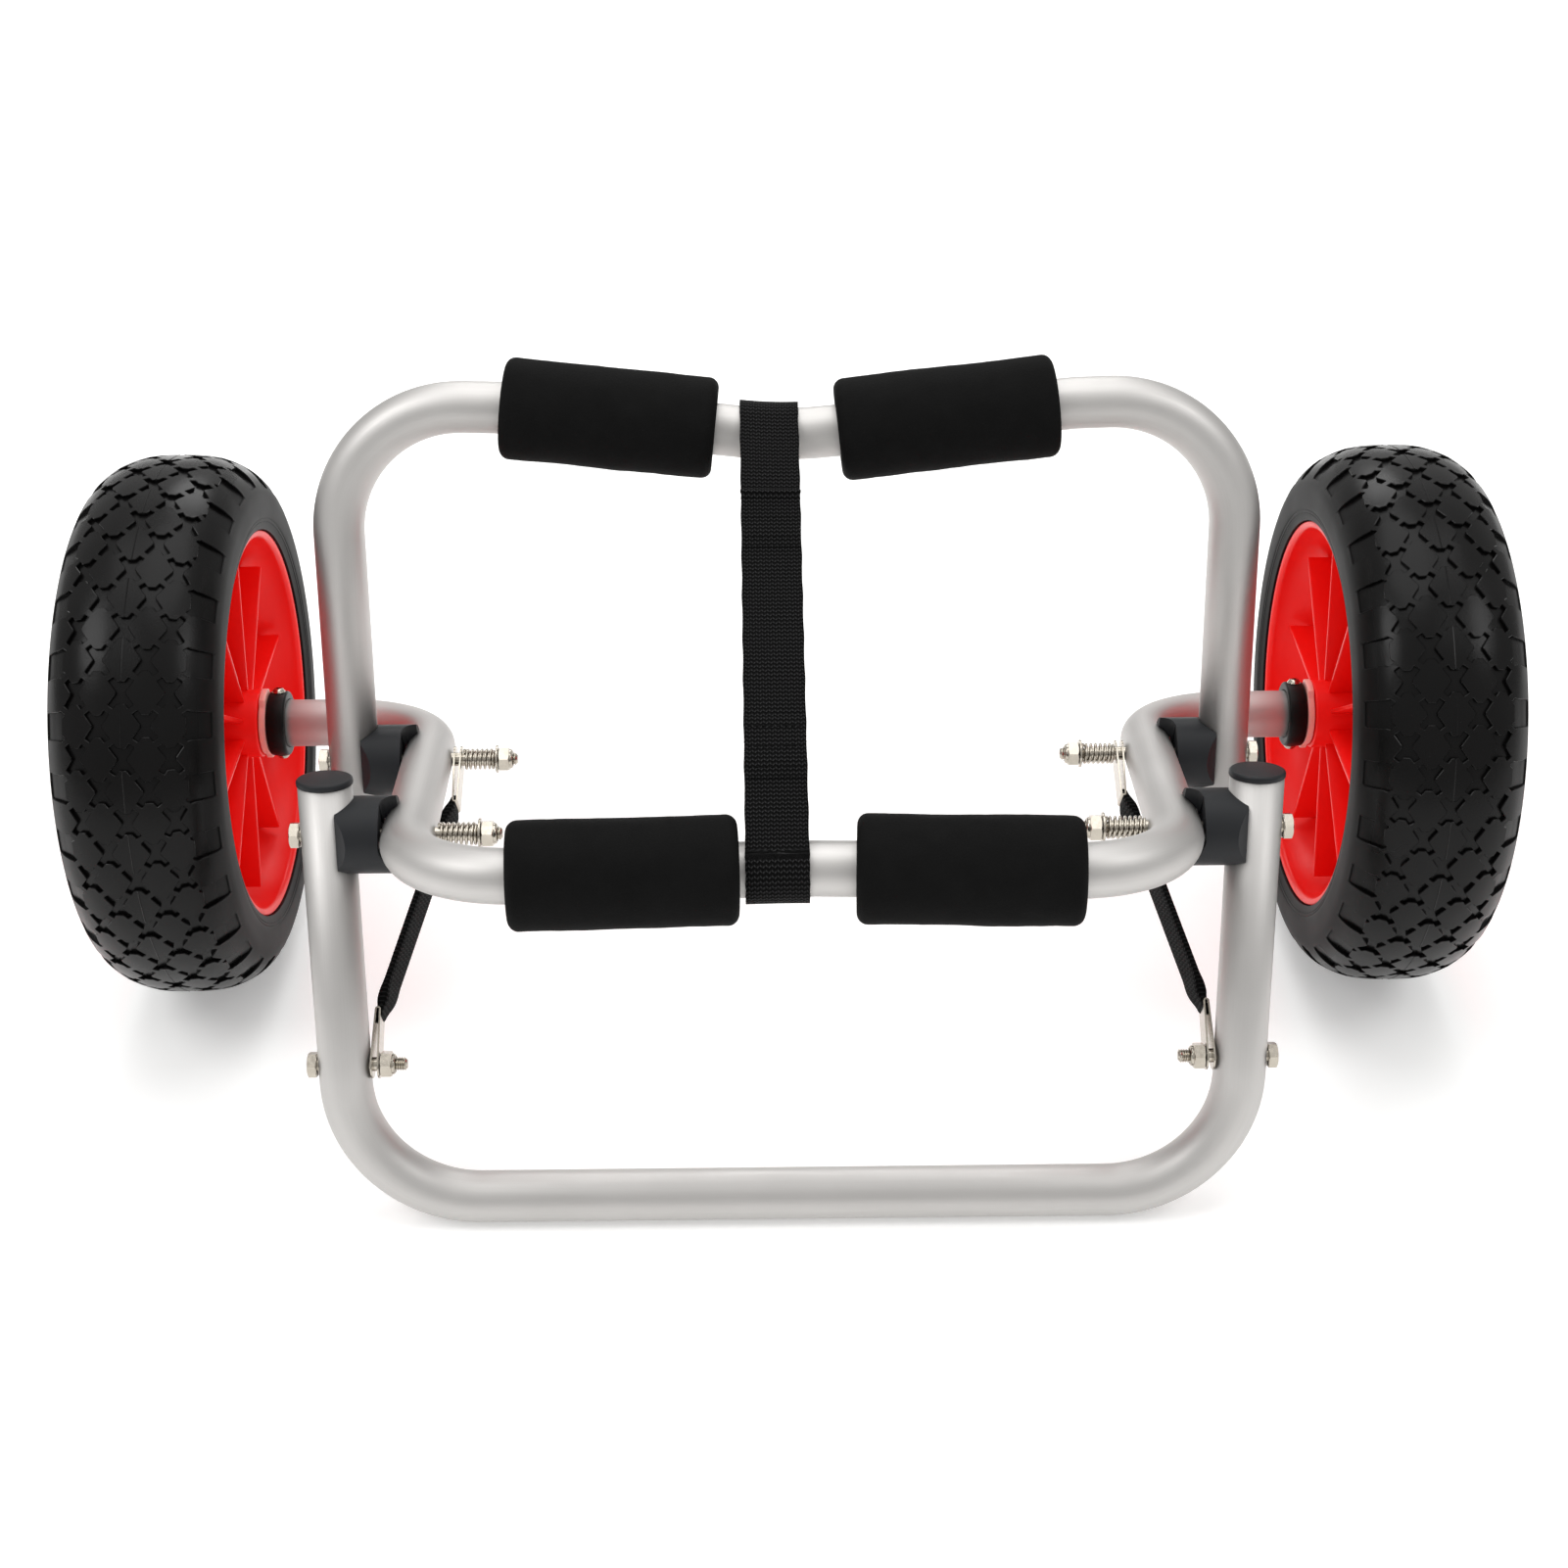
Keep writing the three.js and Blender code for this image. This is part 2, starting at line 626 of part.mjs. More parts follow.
// Round wire along a line of points, as one closed body
function wire(points, radius) {
  const vertices = [];
  const index = [];
  const tangentAt = (i) => {
    const before = points[Math.max(i - 1, 0)];
    const after = points[Math.min(i + 1, points.length - 1)];
    return after.clone().sub(before).normalize();
  };
  let tangent = tangentAt(0);
  const normal = new THREE.Vector3(0, 0, 1).cross(tangent).normalize();
  points.forEach((point, i) => {
    const next = tangentAt(i);
    normal.applyQuaternion(new THREE.Quaternion().setFromUnitVectors(tangent, next));
    tangent = next;
    for (let k = 0; k < wireSides; k += 1) {
      const spoke = normal.clone().applyAxisAngle(tangent, (2 * Math.PI * k) / wireSides);
      vertices.push(...point.clone().addScaledVector(spoke, radius).toArray());
    }
  });
  for (let i = 0; i < points.length - 1; i += 1) {
    for (let k = 0; k < wireSides; k += 1) {
      const [a, b] = [i * wireSides + k, i * wireSides + ((k + 1) % wireSides)];
      index.push(a, b, b + wireSides, a, b + wireSides, a + wireSides);
    }
  }
  const lastRing = (points.length - 1) * wireSides;
  for (let k = 1; k < wireSides - 1; k += 1) {
    index.push(0, k + 1, k, lastRing, lastRing + k, lastRing + k + 1);
  }
  const geometry = new THREE.BufferGeometry();
  geometry.setAttribute('position', new THREE.Float32BufferAttribute(vertices, 3));
  geometry.setIndex(index);
  return geometry;
}

// Least distance between turns of a spring, less the wire, on points along its line
function leastSelfGap(points) {
  const samplesPerStep = 4;
  const samples = [];
  for (let i = 0; i < points.length - 1; i += 1) {
    for (let k = 0; k < samplesPerStep; k += 1) {
      samples.push(points[i].clone().lerp(points[i + 1], k / samplesPerStep));
    }
  }
  const apart = (stepsPerCurl / 2) * samplesPerStep;
  let least = Infinity;
  samples.forEach((point, i) => {
    samples.slice(i + apart).forEach((other) => {
      least = Math.min(least, point.distanceTo(other));
    });
  });
  return least - springWire;
}

// Direction of a limit strap, from the rear pivot bolt down to the bolt in the kickstand
const strapRun = place(0, frontPivotReach, -strapBoltDrop).sub(place(0, rearPivotReach, 0));
const strapLength = strapRun.length();
const strapAngle = Math.atan2(strapRun.z, -strapRun.y);
const upperLinkX = rearArmSpread - tubeRadius - clearance - armSlope * linkWidth - linkThickness / 2;
const lowerLinkX = kickstandSpread - tubeRadius - clearance - linkThickness / 2;

// Sets a geometry drawn with its run along X and its thickness along Y on the strap's line:
// the run goes forward and down, the thickness along the axle
function onStrap(geometry, width) {
  geometry.translate(0, 0, -width / 2);
  geometry.applyMatrix4(new THREE.Matrix4().makeBasis(
    new THREE.Vector3(0, -1, 0),
    new THREE.Vector3(1, 0, 0),
    new THREE.Vector3(0, 0, 1),
  ));
  geometry.rotateX(-strapAngle);
  return geometry.translate(0, -rearPivotReach, 0);
}

// Link: a strip folded in two, with round holed ends on the bolt and its fold through the strap
function link(centreX, boltAt, towards) {
  const outer = linkThickness / 2;
  const inner = linkGap / 2;
  const foldAt = boltAt + towards * (linkReach - outer);
  const endAt = boltAt - towards * (linkWidth / 2);
  const fold = (radius, direction) => Array.from({ length: linkEndSteps + 1 }, (_, i) => {
    const angle = Math.PI * (i / linkEndSteps - 1 / 2) * direction;
    const run = foldAt + towards * radius * Math.cos(angle);
    return new THREE.Vector2(run, centreX + radius * Math.sin(angle));
  });
  const strip = new THREE.Shape([
    new THREE.Vector2(endAt, centreX - outer),
    ...fold(outer, 1),
    new THREE.Vector2(endAt, centreX + outer),
    new THREE.Vector2(endAt, centreX + inner),
    ...fold(inner, -1),
    new THREE.Vector2(endAt, centreX - inner),
  ]);
  const flat = new THREE.ExtrudeGeometry(strip, { depth: linkWidth, bevelEnabled: false });
  const folded = onStrap(flat, linkWidth);
  const runDirection = strapRun.clone().normalize();
  const at = (run, x) => place(x, rearPivotReach, 0).addScaledVector(runDirection, run);
  const roundEnd = rod(
    linkWidth / 2 - clearance / 2,
    at(boltAt, centreX - outer - overrun),
    at(boltAt, centreX + outer + overrun),
    washerSides,
  );
  const bodyLength = linkReach + overrun;
  const straight = new THREE.BoxGeometry(linkThickness + 2 * overrun, bodyLength, linkWidth + 2 * overrun);
  const straightSide = along(straight, at(boltAt, centreX), at(boltAt + towards * bodyLength, centreX));
  const outline = joined([roundEnd, straightSide]);
  const hole = drill(
    boltBoreRadius,
    at(boltAt, centreX - outer - overrun),
    at(boltAt, centreX + outer + overrun),
  );
  return geometryOf(solid(folded).intersect(solid(outline)).subtract(solid(hole)));
}

// Limit strap: doubled webbing that narrows to one ply at each end, where it is threaded
// through the fold of a link
function limitStrap() {
  const foldNear = linkReach - linkThickness / 2 - limitStrapHold;
  const eyeEnd = linkReach + clearance;
  const thickAt = eyeEnd + limitStrapNeck;
  const thin = limitStrapPly / 2;
  const thick = limitStrapThickness / 2;
  const edge = (sign) => [
    [foldNear, upperLinkX + sign * thin],
    [eyeEnd, upperLinkX + sign * thin],
    [thickAt, upperLinkX + sign * thick],
    [strapLength - thickAt, lowerLinkX + sign * thick],
    [strapLength - eyeEnd, lowerLinkX + sign * thin],
    [strapLength - foldNear, lowerLinkX + sign * thin],
  ].map(([run, x]) => new THREE.Vector2(run, x));
  const outline = new THREE.Shape([...edge(-1), ...edge(1).reverse()]);
  const shaped = new THREE.ExtrudeGeometry(outline, { depth: limitStrapWidth, bevelEnabled: false });
  const band = onStrap(shaped, limitStrapWidth);
  const eyeLength = linkThickness / 2 + 2 * clearance;
  const eyes = [
    { x: upperLinkX, run: eyeEnd - eyeLength / 2 },
    { x: lowerLinkX, run: strapLength - eyeEnd + eyeLength / 2 },
  ].map(({ x, run }) => {
    const eye = new THREE.BoxGeometry(eyeLength, 2 * limitStrapThickness, linkWidth + 2 * clearance);
    eye.translate(run, x, limitStrapWidth / 2);
    return onStrap(eye, limitStrapWidth);
  });
  return cut(band, eyes);
}

// Collar screw and wheel pin: turned pins through the axle
function throughPin(x, radius, headRadius, headHeight, topAt, bottomAt, bottomHead) {
  const outline = [
    new THREE.Vector2(0, topAt + headHeight),
    new THREE.Vector2(headRadius, topAt + headHeight),
    new THREE.Vector2(headRadius, topAt),
    new THREE.Vector2(radius, topAt),
    new THREE.Vector2(radius, bottomAt),
  ];
  if (bottomHead) {
    outline.push(new THREE.Vector2(headRadius, bottomAt));
    outline.push(new THREE.Vector2(headRadius, bottomAt - headHeight));
    outline.push(new THREE.Vector2(0, bottomAt - headHeight));
  } else {
    outline.push(new THREE.Vector2(0, bottomAt));
  }
  return new THREE.LatheGeometry(outline, boltSides).rotateX(Math.PI / 2).translate(x, 0, 0);
}

// Plug pushed into a tube end, with a flange over the end
function endPlug(end, outward, flangeRadius, flangeThickness, depth) {
  const seat = end.clone().addScaledVector(outward, clearance);
  const flange = rod(flangeRadius, seat, seat.clone().addScaledVector(outward, flangeThickness), tubeSides);
  const plugRadius = tubeBoreRadius * Math.cos(Math.PI / tubeBoreSides) - clearance;
  const plug = rod(
    plugRadius,
    end.clone().addScaledVector(outward, -depth),
    seat.clone().addScaledVector(outward, flangeThickness / 2),
    tubeBoreSides,
  );
  return joined([flange, plug]);
}

const gaps = [];
sides.forEach(({ side, word }) => {
  const half = addHalf(chassis, side);

  pivots.forEach((pivot) => {
    const legX = pivot.arm + pivotStandoff;
    const linkStack = armSlope * linkWidth + linkThickness + clearance;
    const linkRoom = pivot.link ? linkStack : armSlope * springDiameter;
    const springX = pivot.arm - tubeRadius - clearance - linkRoom;
    const washerX = springX - pivot.springLength - clearance;
    const nutX = washerX - washerThickness - clearance;
    const boltEnd = nutX - nutHeight - nutCollarHeight - pivotThreadEnd;
    const headSeat = legX + headSeatGap;
    const line = springLine(springX, pivot.springLength, pivot.curls);
    const outward = new THREE.Vector3(0, 0, Math.sign(pivot.tail));
    const spring = wire(line, springWire / 2).translate(0, -pivot.reach, 0);
    const legEnd = place(legX, pivot.reach, pivot.tail);
    const cap = endPlug(legEnd, outward, tubeRadius + capBrim, capThickness, capPlugDepth);
    gaps.push(leastSelfGap(line));
    addPiece(half, `${pivot.word}_${word}_saddle`, saddle(pivot), 'plastic');
    addPiece(half, `${pivot.word}_${word}_pivot_bolt`, bolt(headSeat, boltEnd, pivot.reach, 0), 'steel');
    addPiece(half, `${pivot.word}_${word}_spring`, spring, 'steel');
    addPiece(half, `${pivot.word}_${word}_spring_washer`, washer(washerX, pivot.reach, 0), 'steel');
    addPiece(half, `${pivot.word}_${word}_lock_nut`, nut(nutX, pivot.reach, 0), 'steel');
    addPiece(half, `${pivot.word}_${word}_end_cap`, cap, 'plastic');
  });

  // Limit strap with its links, and the bolt and nut in the kickstand's leg
  const strapNutX = lowerLinkX - linkThickness / 2 - clearance;
  const strapBoltEnd = strapNutX - nutHeight - nutCollarHeight - strapThreadEnd;
  const strapHeadSeat = kickstandSpread + headSeatGap;
  addPiece(
    half,
    `${word}_strap_bolt`,
    bolt(strapHeadSeat, strapBoltEnd, frontPivotReach, -strapBoltDrop),
    'steel',
  );
  addPiece(half, `${word}_strap_nut`, nut(strapNutX, frontPivotReach, -strapBoltDrop), 'steel');
  addPiece(half, `${word}_upper_strap_link`, link(upperLinkX, 0, 1), 'steel');
  addPiece(half, `${word}_lower_strap_link`, link(lowerLinkX, strapLength, -1), 'steel');
  addPiece(half, `${word}_limit_strap`, limitStrap(), 'webbing');

  // Collar, its through screw, the wheel pin and the plug in the axle's end
  const axleBore = tubeRadius + clearance;
  const collarHole = drill(
    collarScrewDiameter / 2 + clearance,
    place(collarScrewX, 0, -collarRadius - overrun),
    place(collarScrewX, 0, collarRadius + overrun),
  );
  const collarRing = ring(collarX, collarX + collarWidth, collarRadius, axleBore, axleRingSides);
  const collar = cut(collarRing, [collarHole]);
  const screwSeat = collarRadius + clearance;
  const screw = throughPin(
    collarScrewX,
    collarScrewDiameter / 2,
    collarScrewHeadDiameter / 2,
    collarScrewHeadHeight,
    screwSeat,
    -screwSeat,
    true,
  );
  const pinSeat = headSeatGap;
  const pin = throughPin(
    wheelPinX,
    wheelPinDiameter / 2,
    wheelPinHeadDiameter / 2,
    wheelPinHeadHeight,
    pinSeat,
    -pinSeat - wheelPinTail,
    false,
  );
  const axleEnd = place(axleEndX, 0, 0);
  const outward = new THREE.Vector3(1, 0, 0);
  const axlePlug = endPlug(axleEnd, outward, tubeRadius, axlePlugThickness, axlePlugDepth);
  const innerWasher = ring(
    innerWasherX,
    innerWasherX + innerWasherThickness,
    hubWasherRadius,
    axleBore,
    axleRingSides,
  );
  const outerWasher = ring(
    outerWasherX,
    outerWasherX + outerWasherThickness,
    hubWasherRadius,
    axleBore,
    axleRingSides,
  );
  addPiece(half, `${word}_axle_collar`, collar, 'collarPlastic');
  addPiece(half, `${word}_collar_screw`, screw, 'steel');
  addPiece(half, `${word}_wheel_pin`, pin, 'steel');
  addPiece(half, `${word}_axle_plug`, axlePlug, 'plastic');
  addPiece(half, `${word}_inner_hub_washer`, innerWasher, 'nylon');
  addPiece(half, `${word}_outer_hub_washer`, outerWasher, 'nylon');

  // Wheel: tyre, spoked rim and hub bush, drawn about the wheel's own middle with the inner side at -X
  const wheel = addHalf(wheelAxis, side);
  const crownReach = (tyreWidth - treadFlatWidth) / 2;
  const crown = (direction) => Array.from({ length: crownSteps + 1 }, (_, i) => {
    const angle = (Math.PI / 2 * i) / crownSteps;
    return [
      direction * (treadFlatWidth / 2 + crownReach * Math.cos(angle)),
      tyreShoulderRadius + tyreShoulderHeight * Math.sin(angle),
    ];
  });
  const tyreBore = tyreSeatRadius + clearance;
  const tyreOutline = [
    [-tyreWidth / 2, tyreBore],
    ...crown(-1),
    ...crown(1).reverse(),
    [tyreWidth / 2, tyreBore],
    [-tyreWidth / 2, tyreBore],
  ];
  const dish = (direction) => Array.from({ length: dishSteps + 1 }, (_, i) => {
    const angle = (Math.PI / 2 * i) / dishSteps;
    const depth = (rimWidth - dishWall) / 2;
    return [
      direction * (dishWall / 2 + depth * (1 - Math.cos(angle))),
      dishRadius + dishFlare * Math.sin(angle),
    ];
  });
  const rimOutline = [
    [-hubInnerReach, hubBore],
    [-hubInnerReach, hubRadius],
    [-dishWall / 2, hubRadius],
    ...dish(-1),
    [-rimWidth / 2, tyreSeatRadius],
    [rimWidth / 2, tyreSeatRadius],
    ...dish(1).reverse(),
    [dishWall / 2, hubRadius],
    [hubOuterReach, hubRadius],
    [hubOuterReach, hubBore],
    [-hubInnerReach, hubBore],
  ];
  const ribFoot = hubRadius - ribSink;
  const ribShape = new THREE.Shape([
    new THREE.Vector2(-hubInnerReach + ribSetback, ribFoot),
    new THREE.Vector2(-ribEndHeight, ribReachRadius),
    new THREE.Vector2(ribEndHeight, ribReachRadius),
    new THREE.Vector2(hubOuterReach - ribSetback, ribFoot),
  ]);
  const ribs = Array.from({ length: ribCount }, (_, i) => {
    const rib = new THREE.ExtrudeGeometry(ribShape, { depth: ribThickness, bevelEnabled: false });
    return rib.translate(0, 0, -ribThickness / 2).rotateX((2 * Math.PI * i) / ribCount);
  });
  const rim = joined([turned(rimOutline, wheelSegments), ...ribs]);
  const bushBore = tubeRadius + clearance;
  const bush = ring(-hubInnerReach, hubOuterReach, bushBore + bushWall, bushBore, axleRingSides);
  addPiece(wheel, `${word}_tyre`, turned(tyreOutline, wheelSegments).translate(wheelMiddleX, 0, 0), 'tyre');
  addPiece(wheel, `${word}_rim`, rim.translate(wheelMiddleX, 0, 0), 'rim');
  addPiece(wheel, `${word}_hub_bush`, bush.translate(wheelMiddleX, 0, 0), 'nylon');
});
console.log(`Least gap between the turns of a spring: ${Math.min(...gaps).toFixed(2)} mm`);

// Origin on the ground, below the middle of the cart
cart.updateMatrixWorld(true);
const extent = new THREE.Box3().setFromObject(cart, true);
const centre = extent.getCenter(new THREE.Vector3());
cart.position.set(-centre.x, -centre.y, -extent.min.z);

export default cart;
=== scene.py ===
# %% [markdown]
# # A folding kayak cart
#
# A kayak cart carries one end of a boat over a beach. Three bent aluminium tubes make the frame:
# one is axle, arms and front bar in a single piece, one is the upright hoop at the back, and one is
# the kickstand. The hoop and the kickstand turn on sprung bolts, foam pads hold the hull, and two
# solid foam tyres on red rims do the rolling.
#
# The construction model is loaded first and stays where it is. Every piece below is modelled over
# its solid, in metres, and all but the straps ride on the same moving body.

# %% Load the construction model
import json
import math

import bmesh
import bpy
from mathutils import Matrix, Vector, geometry, noise


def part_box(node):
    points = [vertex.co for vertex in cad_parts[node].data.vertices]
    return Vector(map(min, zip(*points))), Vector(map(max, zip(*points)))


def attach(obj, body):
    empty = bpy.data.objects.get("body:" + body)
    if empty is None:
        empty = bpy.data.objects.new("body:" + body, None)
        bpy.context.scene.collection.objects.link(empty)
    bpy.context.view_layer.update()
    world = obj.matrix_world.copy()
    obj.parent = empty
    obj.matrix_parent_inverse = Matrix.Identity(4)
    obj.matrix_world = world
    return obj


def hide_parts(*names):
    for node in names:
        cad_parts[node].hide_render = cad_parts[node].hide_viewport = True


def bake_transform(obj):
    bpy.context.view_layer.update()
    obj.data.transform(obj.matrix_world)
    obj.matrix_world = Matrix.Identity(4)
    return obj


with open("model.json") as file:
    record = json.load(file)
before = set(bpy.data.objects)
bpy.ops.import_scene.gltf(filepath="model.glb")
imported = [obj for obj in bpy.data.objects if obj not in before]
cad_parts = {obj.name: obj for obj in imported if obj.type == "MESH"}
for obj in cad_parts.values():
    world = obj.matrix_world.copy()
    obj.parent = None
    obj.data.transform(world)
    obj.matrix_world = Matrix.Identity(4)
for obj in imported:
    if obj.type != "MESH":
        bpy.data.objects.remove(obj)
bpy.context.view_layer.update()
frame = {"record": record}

# %% [markdown]
# ## Where things are
#
# The frame leans back on its wheels, so most pieces are easiest to place in the frame's own
# directions: `reach` runs forward from the axle along the arms, and `rise` is square to it. Both
# directions come from the pivot bolts of the construction model, so nothing is measured twice.

# %% Directions of the leaning frame
MM = 0.001
SIDES = ("left", "right")
ACROSS = Vector((1, 0, 0))


def middle(node):
    """Centre of a construction solid."""
    low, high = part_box(node)
    return (low + high) / 2


def line_of(node):
    """Where a piece that lies across the cart has its line, on the cart's centre plane."""
    return Vector((0, *middle(node).yz))


def side_of(node):
    """-1 for a solid on the left of the cart, 1 for one on the right."""
    return math.copysign(1, middle(node).x)


def span(node):
    """How far from the middle of the cart a solid starts and ends."""
    low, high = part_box(node)
    return sorted((abs(low.x), abs(high.x)))


axle = line_of("left_tyre")
rear_pivot = line_of("rear_left_pivot_bolt")
front_pivot = line_of("front_left_pivot_bolt")
strap_bolt = line_of("left_strap_bolt")
forward = (front_pivot - rear_pivot).normalized()
upward = forward.cross(ACROSS)
rear_reach = (rear_pivot - axle).length
front_reach = (front_pivot - axle).length


def leaning(x, reach, rise):
    """Point given across the cart, forward from the axle and square to the arms."""
    return axle + ACROSS * x + forward * reach + upward * rise


print("Pivots at", round(rear_reach / MM, 1), "and", round(front_reach / MM, 1), "mm from the axle")

# %% [markdown]
# ## The camera
#
# The cart was seen from the front and about 34 degrees above, with a normal lens from a little over
# a metre away. A camera at rest looks straight down. Its turns are read from the last one back: a
# little roll about its own line of sight, a tip up towards the cart, and a small swing to the side.

# %% Camera
FOCAL_LENGTH, SENSOR_WIDTH = 52.7, 36
CAMERA_PLACE = (-0.0104, -0.8746, 0.7155)
CAMERA_TURNS = (("Y", -0.794), ("X", 55.851), ("Z", -1.201))

camera_data = bpy.data.cameras.new("camera")
camera_data.lens = FOCAL_LENGTH
camera_data.sensor_width = SENSOR_WIDTH
camera = bpy.data.objects.new("camera", camera_data)
stance = Matrix.Translation(CAMERA_PLACE)
for axis, degrees in CAMERA_TURNS:
    stance = stance @ Matrix.Rotation(math.radians(degrees), 4, axis)
camera.matrix_world = stance
bpy.context.scene.collection.objects.link(camera)
bpy.context.scene.camera = camera
print("Camera", [round(value, 3) for value in camera.location])

# %% [markdown]
# ## The studio
#
# Satin metal only looks like metal when it has something to reflect. A wide soft light overhead
# draws the long highlight along the tubes, two softboxes high on the left and right give the black
# pieces their shine, and one light behind keeps the far floor white. The surrounding room is bright
# above and dimmer at the horizon, so that steel shows dark and light bands. The floor glows a
# little, as lit paper does, which keeps it white where red light from the wheels falls on it.

# %% Floor, background and soft lights
FLOOR_SIZE = 12
PAPER = {
    "Base Color": (0.93, 0.93, 0.925, 1),
    "Roughness": 0.75,
    "Emission Color": (1, 1, 1, 1),
    "Emission Strength": 0.26,
}
HORIZON, ZENITH = 0.48, 0.8
ROOM_COLOUR = (1.0, 0.995, 0.985, 1)
LIGHTS = {  # place, aim, size in metres, watts
    "overhead": ((0, 0.35, 2.2), (0, 0, 0.1), 1.9, 17),
    "left_softbox": ((-1.35, -0.55, 1.75), (-0.1, 0, 0.15), 1.0, 12),
    "right_softbox": ((1.35, -0.55, 1.75), (0.1, 0, 0.15), 0.8, 7),
    "back_wash": ((0, 2.6, 2.0), (0, 1.9, 0), 1.6, 22),
}

bm = bmesh.new()
bmesh.ops.create_grid(bm, x_segments=1, y_segments=1, size=FLOOR_SIZE / 2)
floor_mesh = bpy.data.meshes.new("floor")
bm.to_mesh(floor_mesh)
bm.free()
floor = bpy.data.objects.new("floor", floor_mesh)
bpy.context.scene.collection.objects.link(floor)
floor_material = bpy.data.materials.new("studio_floor")
floor_material.use_nodes = True
for socket, value in PAPER.items():
    floor_material.node_tree.nodes["Principled BSDF"].inputs[socket].default_value = value
floor_mesh.materials.append(floor_material)

world = bpy.data.worlds.new("studio")
world.use_nodes = True
sky = world.node_tree
direction = sky.nodes.new("ShaderNodeTexCoord")
parts = sky.nodes.new("ShaderNodeSeparateXYZ")
brightness = sky.nodes.new("ShaderNodeMapRange")
brightness.inputs["To Min"].default_value = HORIZON
brightness.inputs["To Max"].default_value = ZENITH
sky.links.new(direction.outputs["Generated"], parts.inputs["Vector"])
sky.links.new(parts.outputs["Z"], brightness.inputs["Value"])
sky.links.new(brightness.outputs["Result"], sky.nodes["Background"].inputs["Strength"])
sky.nodes["Background"].inputs["Color"].default_value = ROOM_COLOUR
bpy.context.scene.world = world
bpy.context.scene.view_settings.view_transform = "Standard"

for name, (place, aim, size, watts) in LIGHTS.items():
    light = bpy.data.lights.new(name, "AREA")
    light.shape = "DISK"
    light.size = size
    light.energy = watts
    lamp = bpy.data.objects.new(name, light)
    turn = (Vector(aim) - Vector(place)).to_track_quat("-Z", "Y").to_matrix().to_4x4()
    lamp.matrix_world = Matrix.Translation(place) @ turn
    bpy.context.scene.collection.objects.link(lamp)
print("Lights:", list(LIGHTS))

# %% [markdown]
# ## Finishes
#
# Each finish is one procedural material. Constants sit on the shader's own sockets, and only what
# really varies over the surface comes from nodes. The methods below each add one kind of node, and
# `wire` runs what they give to the shader.

# %% Helpers for node materials
NOISE_SPREAD = (0.3, 0.7)  # where most values of a noise node lie


class Finish:
    """A procedural material with a Principled shader; sockets are named with underscores."""

    def __init__(self, name, colour, roughness, metallic=0.0, **sockets):
        self.material = bpy.data.materials.new(f"{name}_finish")
        self.material.use_nodes = True
        self.tree = self.material.node_tree
        self.shader = self.tree.nodes["Principled BSDF"]
        constants = {"Base_Color": (*colour, 1), "Roughness": roughness, "Metallic": metallic, **sockets}
        for socket, value in constants.items():
            self.shader.inputs[socket.replace("_", " ")].default_value = value

    def wire(self, **outputs):
        for socket, output in outputs.items():
            self.tree.links.new(output, self.shader.inputs[socket.replace("_", " ")])

    def add(self, kind, inputs, output, **settings):
        """Adds a node, sets or connects its inputs, and gives one of its outputs."""
        made = self.tree.nodes.new(kind)
        for setting, value in settings.items():
            setattr(made, setting, value)
        for socket, value in inputs.items():
            if isinstance(value, bpy.types.NodeSocket):
                self.tree.links.new(value, made.inputs[socket])
            else:
                made.inputs[socket].default_value = value
        return made.outputs[output]

    def place(self, attribute=None):
        """Object coordinates, or a piece's own attribute that follows its surface."""
        if attribute:
            return self.add("ShaderNodeAttribute", {}, "Vector", attribute_name=attribute)
        return self.add("ShaderNodeTexCoord", {}, "Object")

    def part(self, vector, axis):
        return self.add("ShaderNodeSeparateXYZ", {"Vector": vector}, axis)

    def reckon(self, operation, first, second=0.0):
        return self.add("ShaderNodeMath", {0: first, 1: second}, 0, operation=operation)

    def grain(self, scale, detail=2.0, where=None, stretch=None):
        """Noise of a given scale in lumps per metre."""
        place = where or self.place()
        if stretch:
            place = self.add("ShaderNodeMapping", {"Vector": place, "Scale": stretch}, "Vector")
        return self.add("ShaderNodeTexNoise", {"Vector": place, "Scale": scale, "Detail": detail}, "Fac")

    def ramp(self, value, start, end, low=0.0, high=1.0):
        ends = {"Value": value, "From Min": start, "From Max": end, "To Min": low, "To Max": high}
        return self.add("ShaderNodeMapRange", ends, "Result")

    def between(self, noise_value, low, high):
        """Maps noise onto a range."""
        return self.ramp(noise_value, *NOISE_SPREAD, low, high)

    def blend(self, factor, first, second):
        inputs = {"Factor": factor, "A": (*first, 1), "B": (*second, 1)}
        return self.add("ShaderNodeMix", inputs, "Result", data_type="RGBA")

    def bump(self, height, distance, strength, over=None):
        """Relief of a given height in metres, perhaps over another bump."""
        inputs = {"Height": height, "Distance": distance, "Strength": strength}
        return self.add("ShaderNodeBump", inputs | ({"Normal": over} if over else {}), "Normal")


print("A finish can add", [name for name in vars(Finish) if not name.startswith("_")])

# %% [markdown]
# ### Aluminium tube
#
# Drawn tube that was bead blasted and anodised: a satin metal with very fine streaks along its
# length. Object coordinates would run straight through the bends, so the tubes carry an attribute,
# `skin`, that holds the place round the tube and along it. The noise is stretched along the last.

# %% Aluminium finish


def aluminium_finish():
    dark, pale = (0.51, 0.498, 0.486), (0.57, 0.557, 0.544)
    finish = Finish("aluminium_tube", dark, 0.5, 1.0)
    streaks = finish.grain(1.0, 3, where=finish.place("skin"), stretch=(2600, 2600, 30))
    drawn = finish.bump(streaks, 0.02 * MM, 0.5)
    finish.wire(
        Base_Color=finish.blend(finish.grain(28), dark, pale),
        Roughness=finish.between(streaks, 0.49, 0.56),
        Normal=finish.bump(finish.grain(2600, 1), 0.03 * MM, 0.6, drawn),
    )
    return finish.material


aluminium = aluminium_finish()
print(aluminium.name)

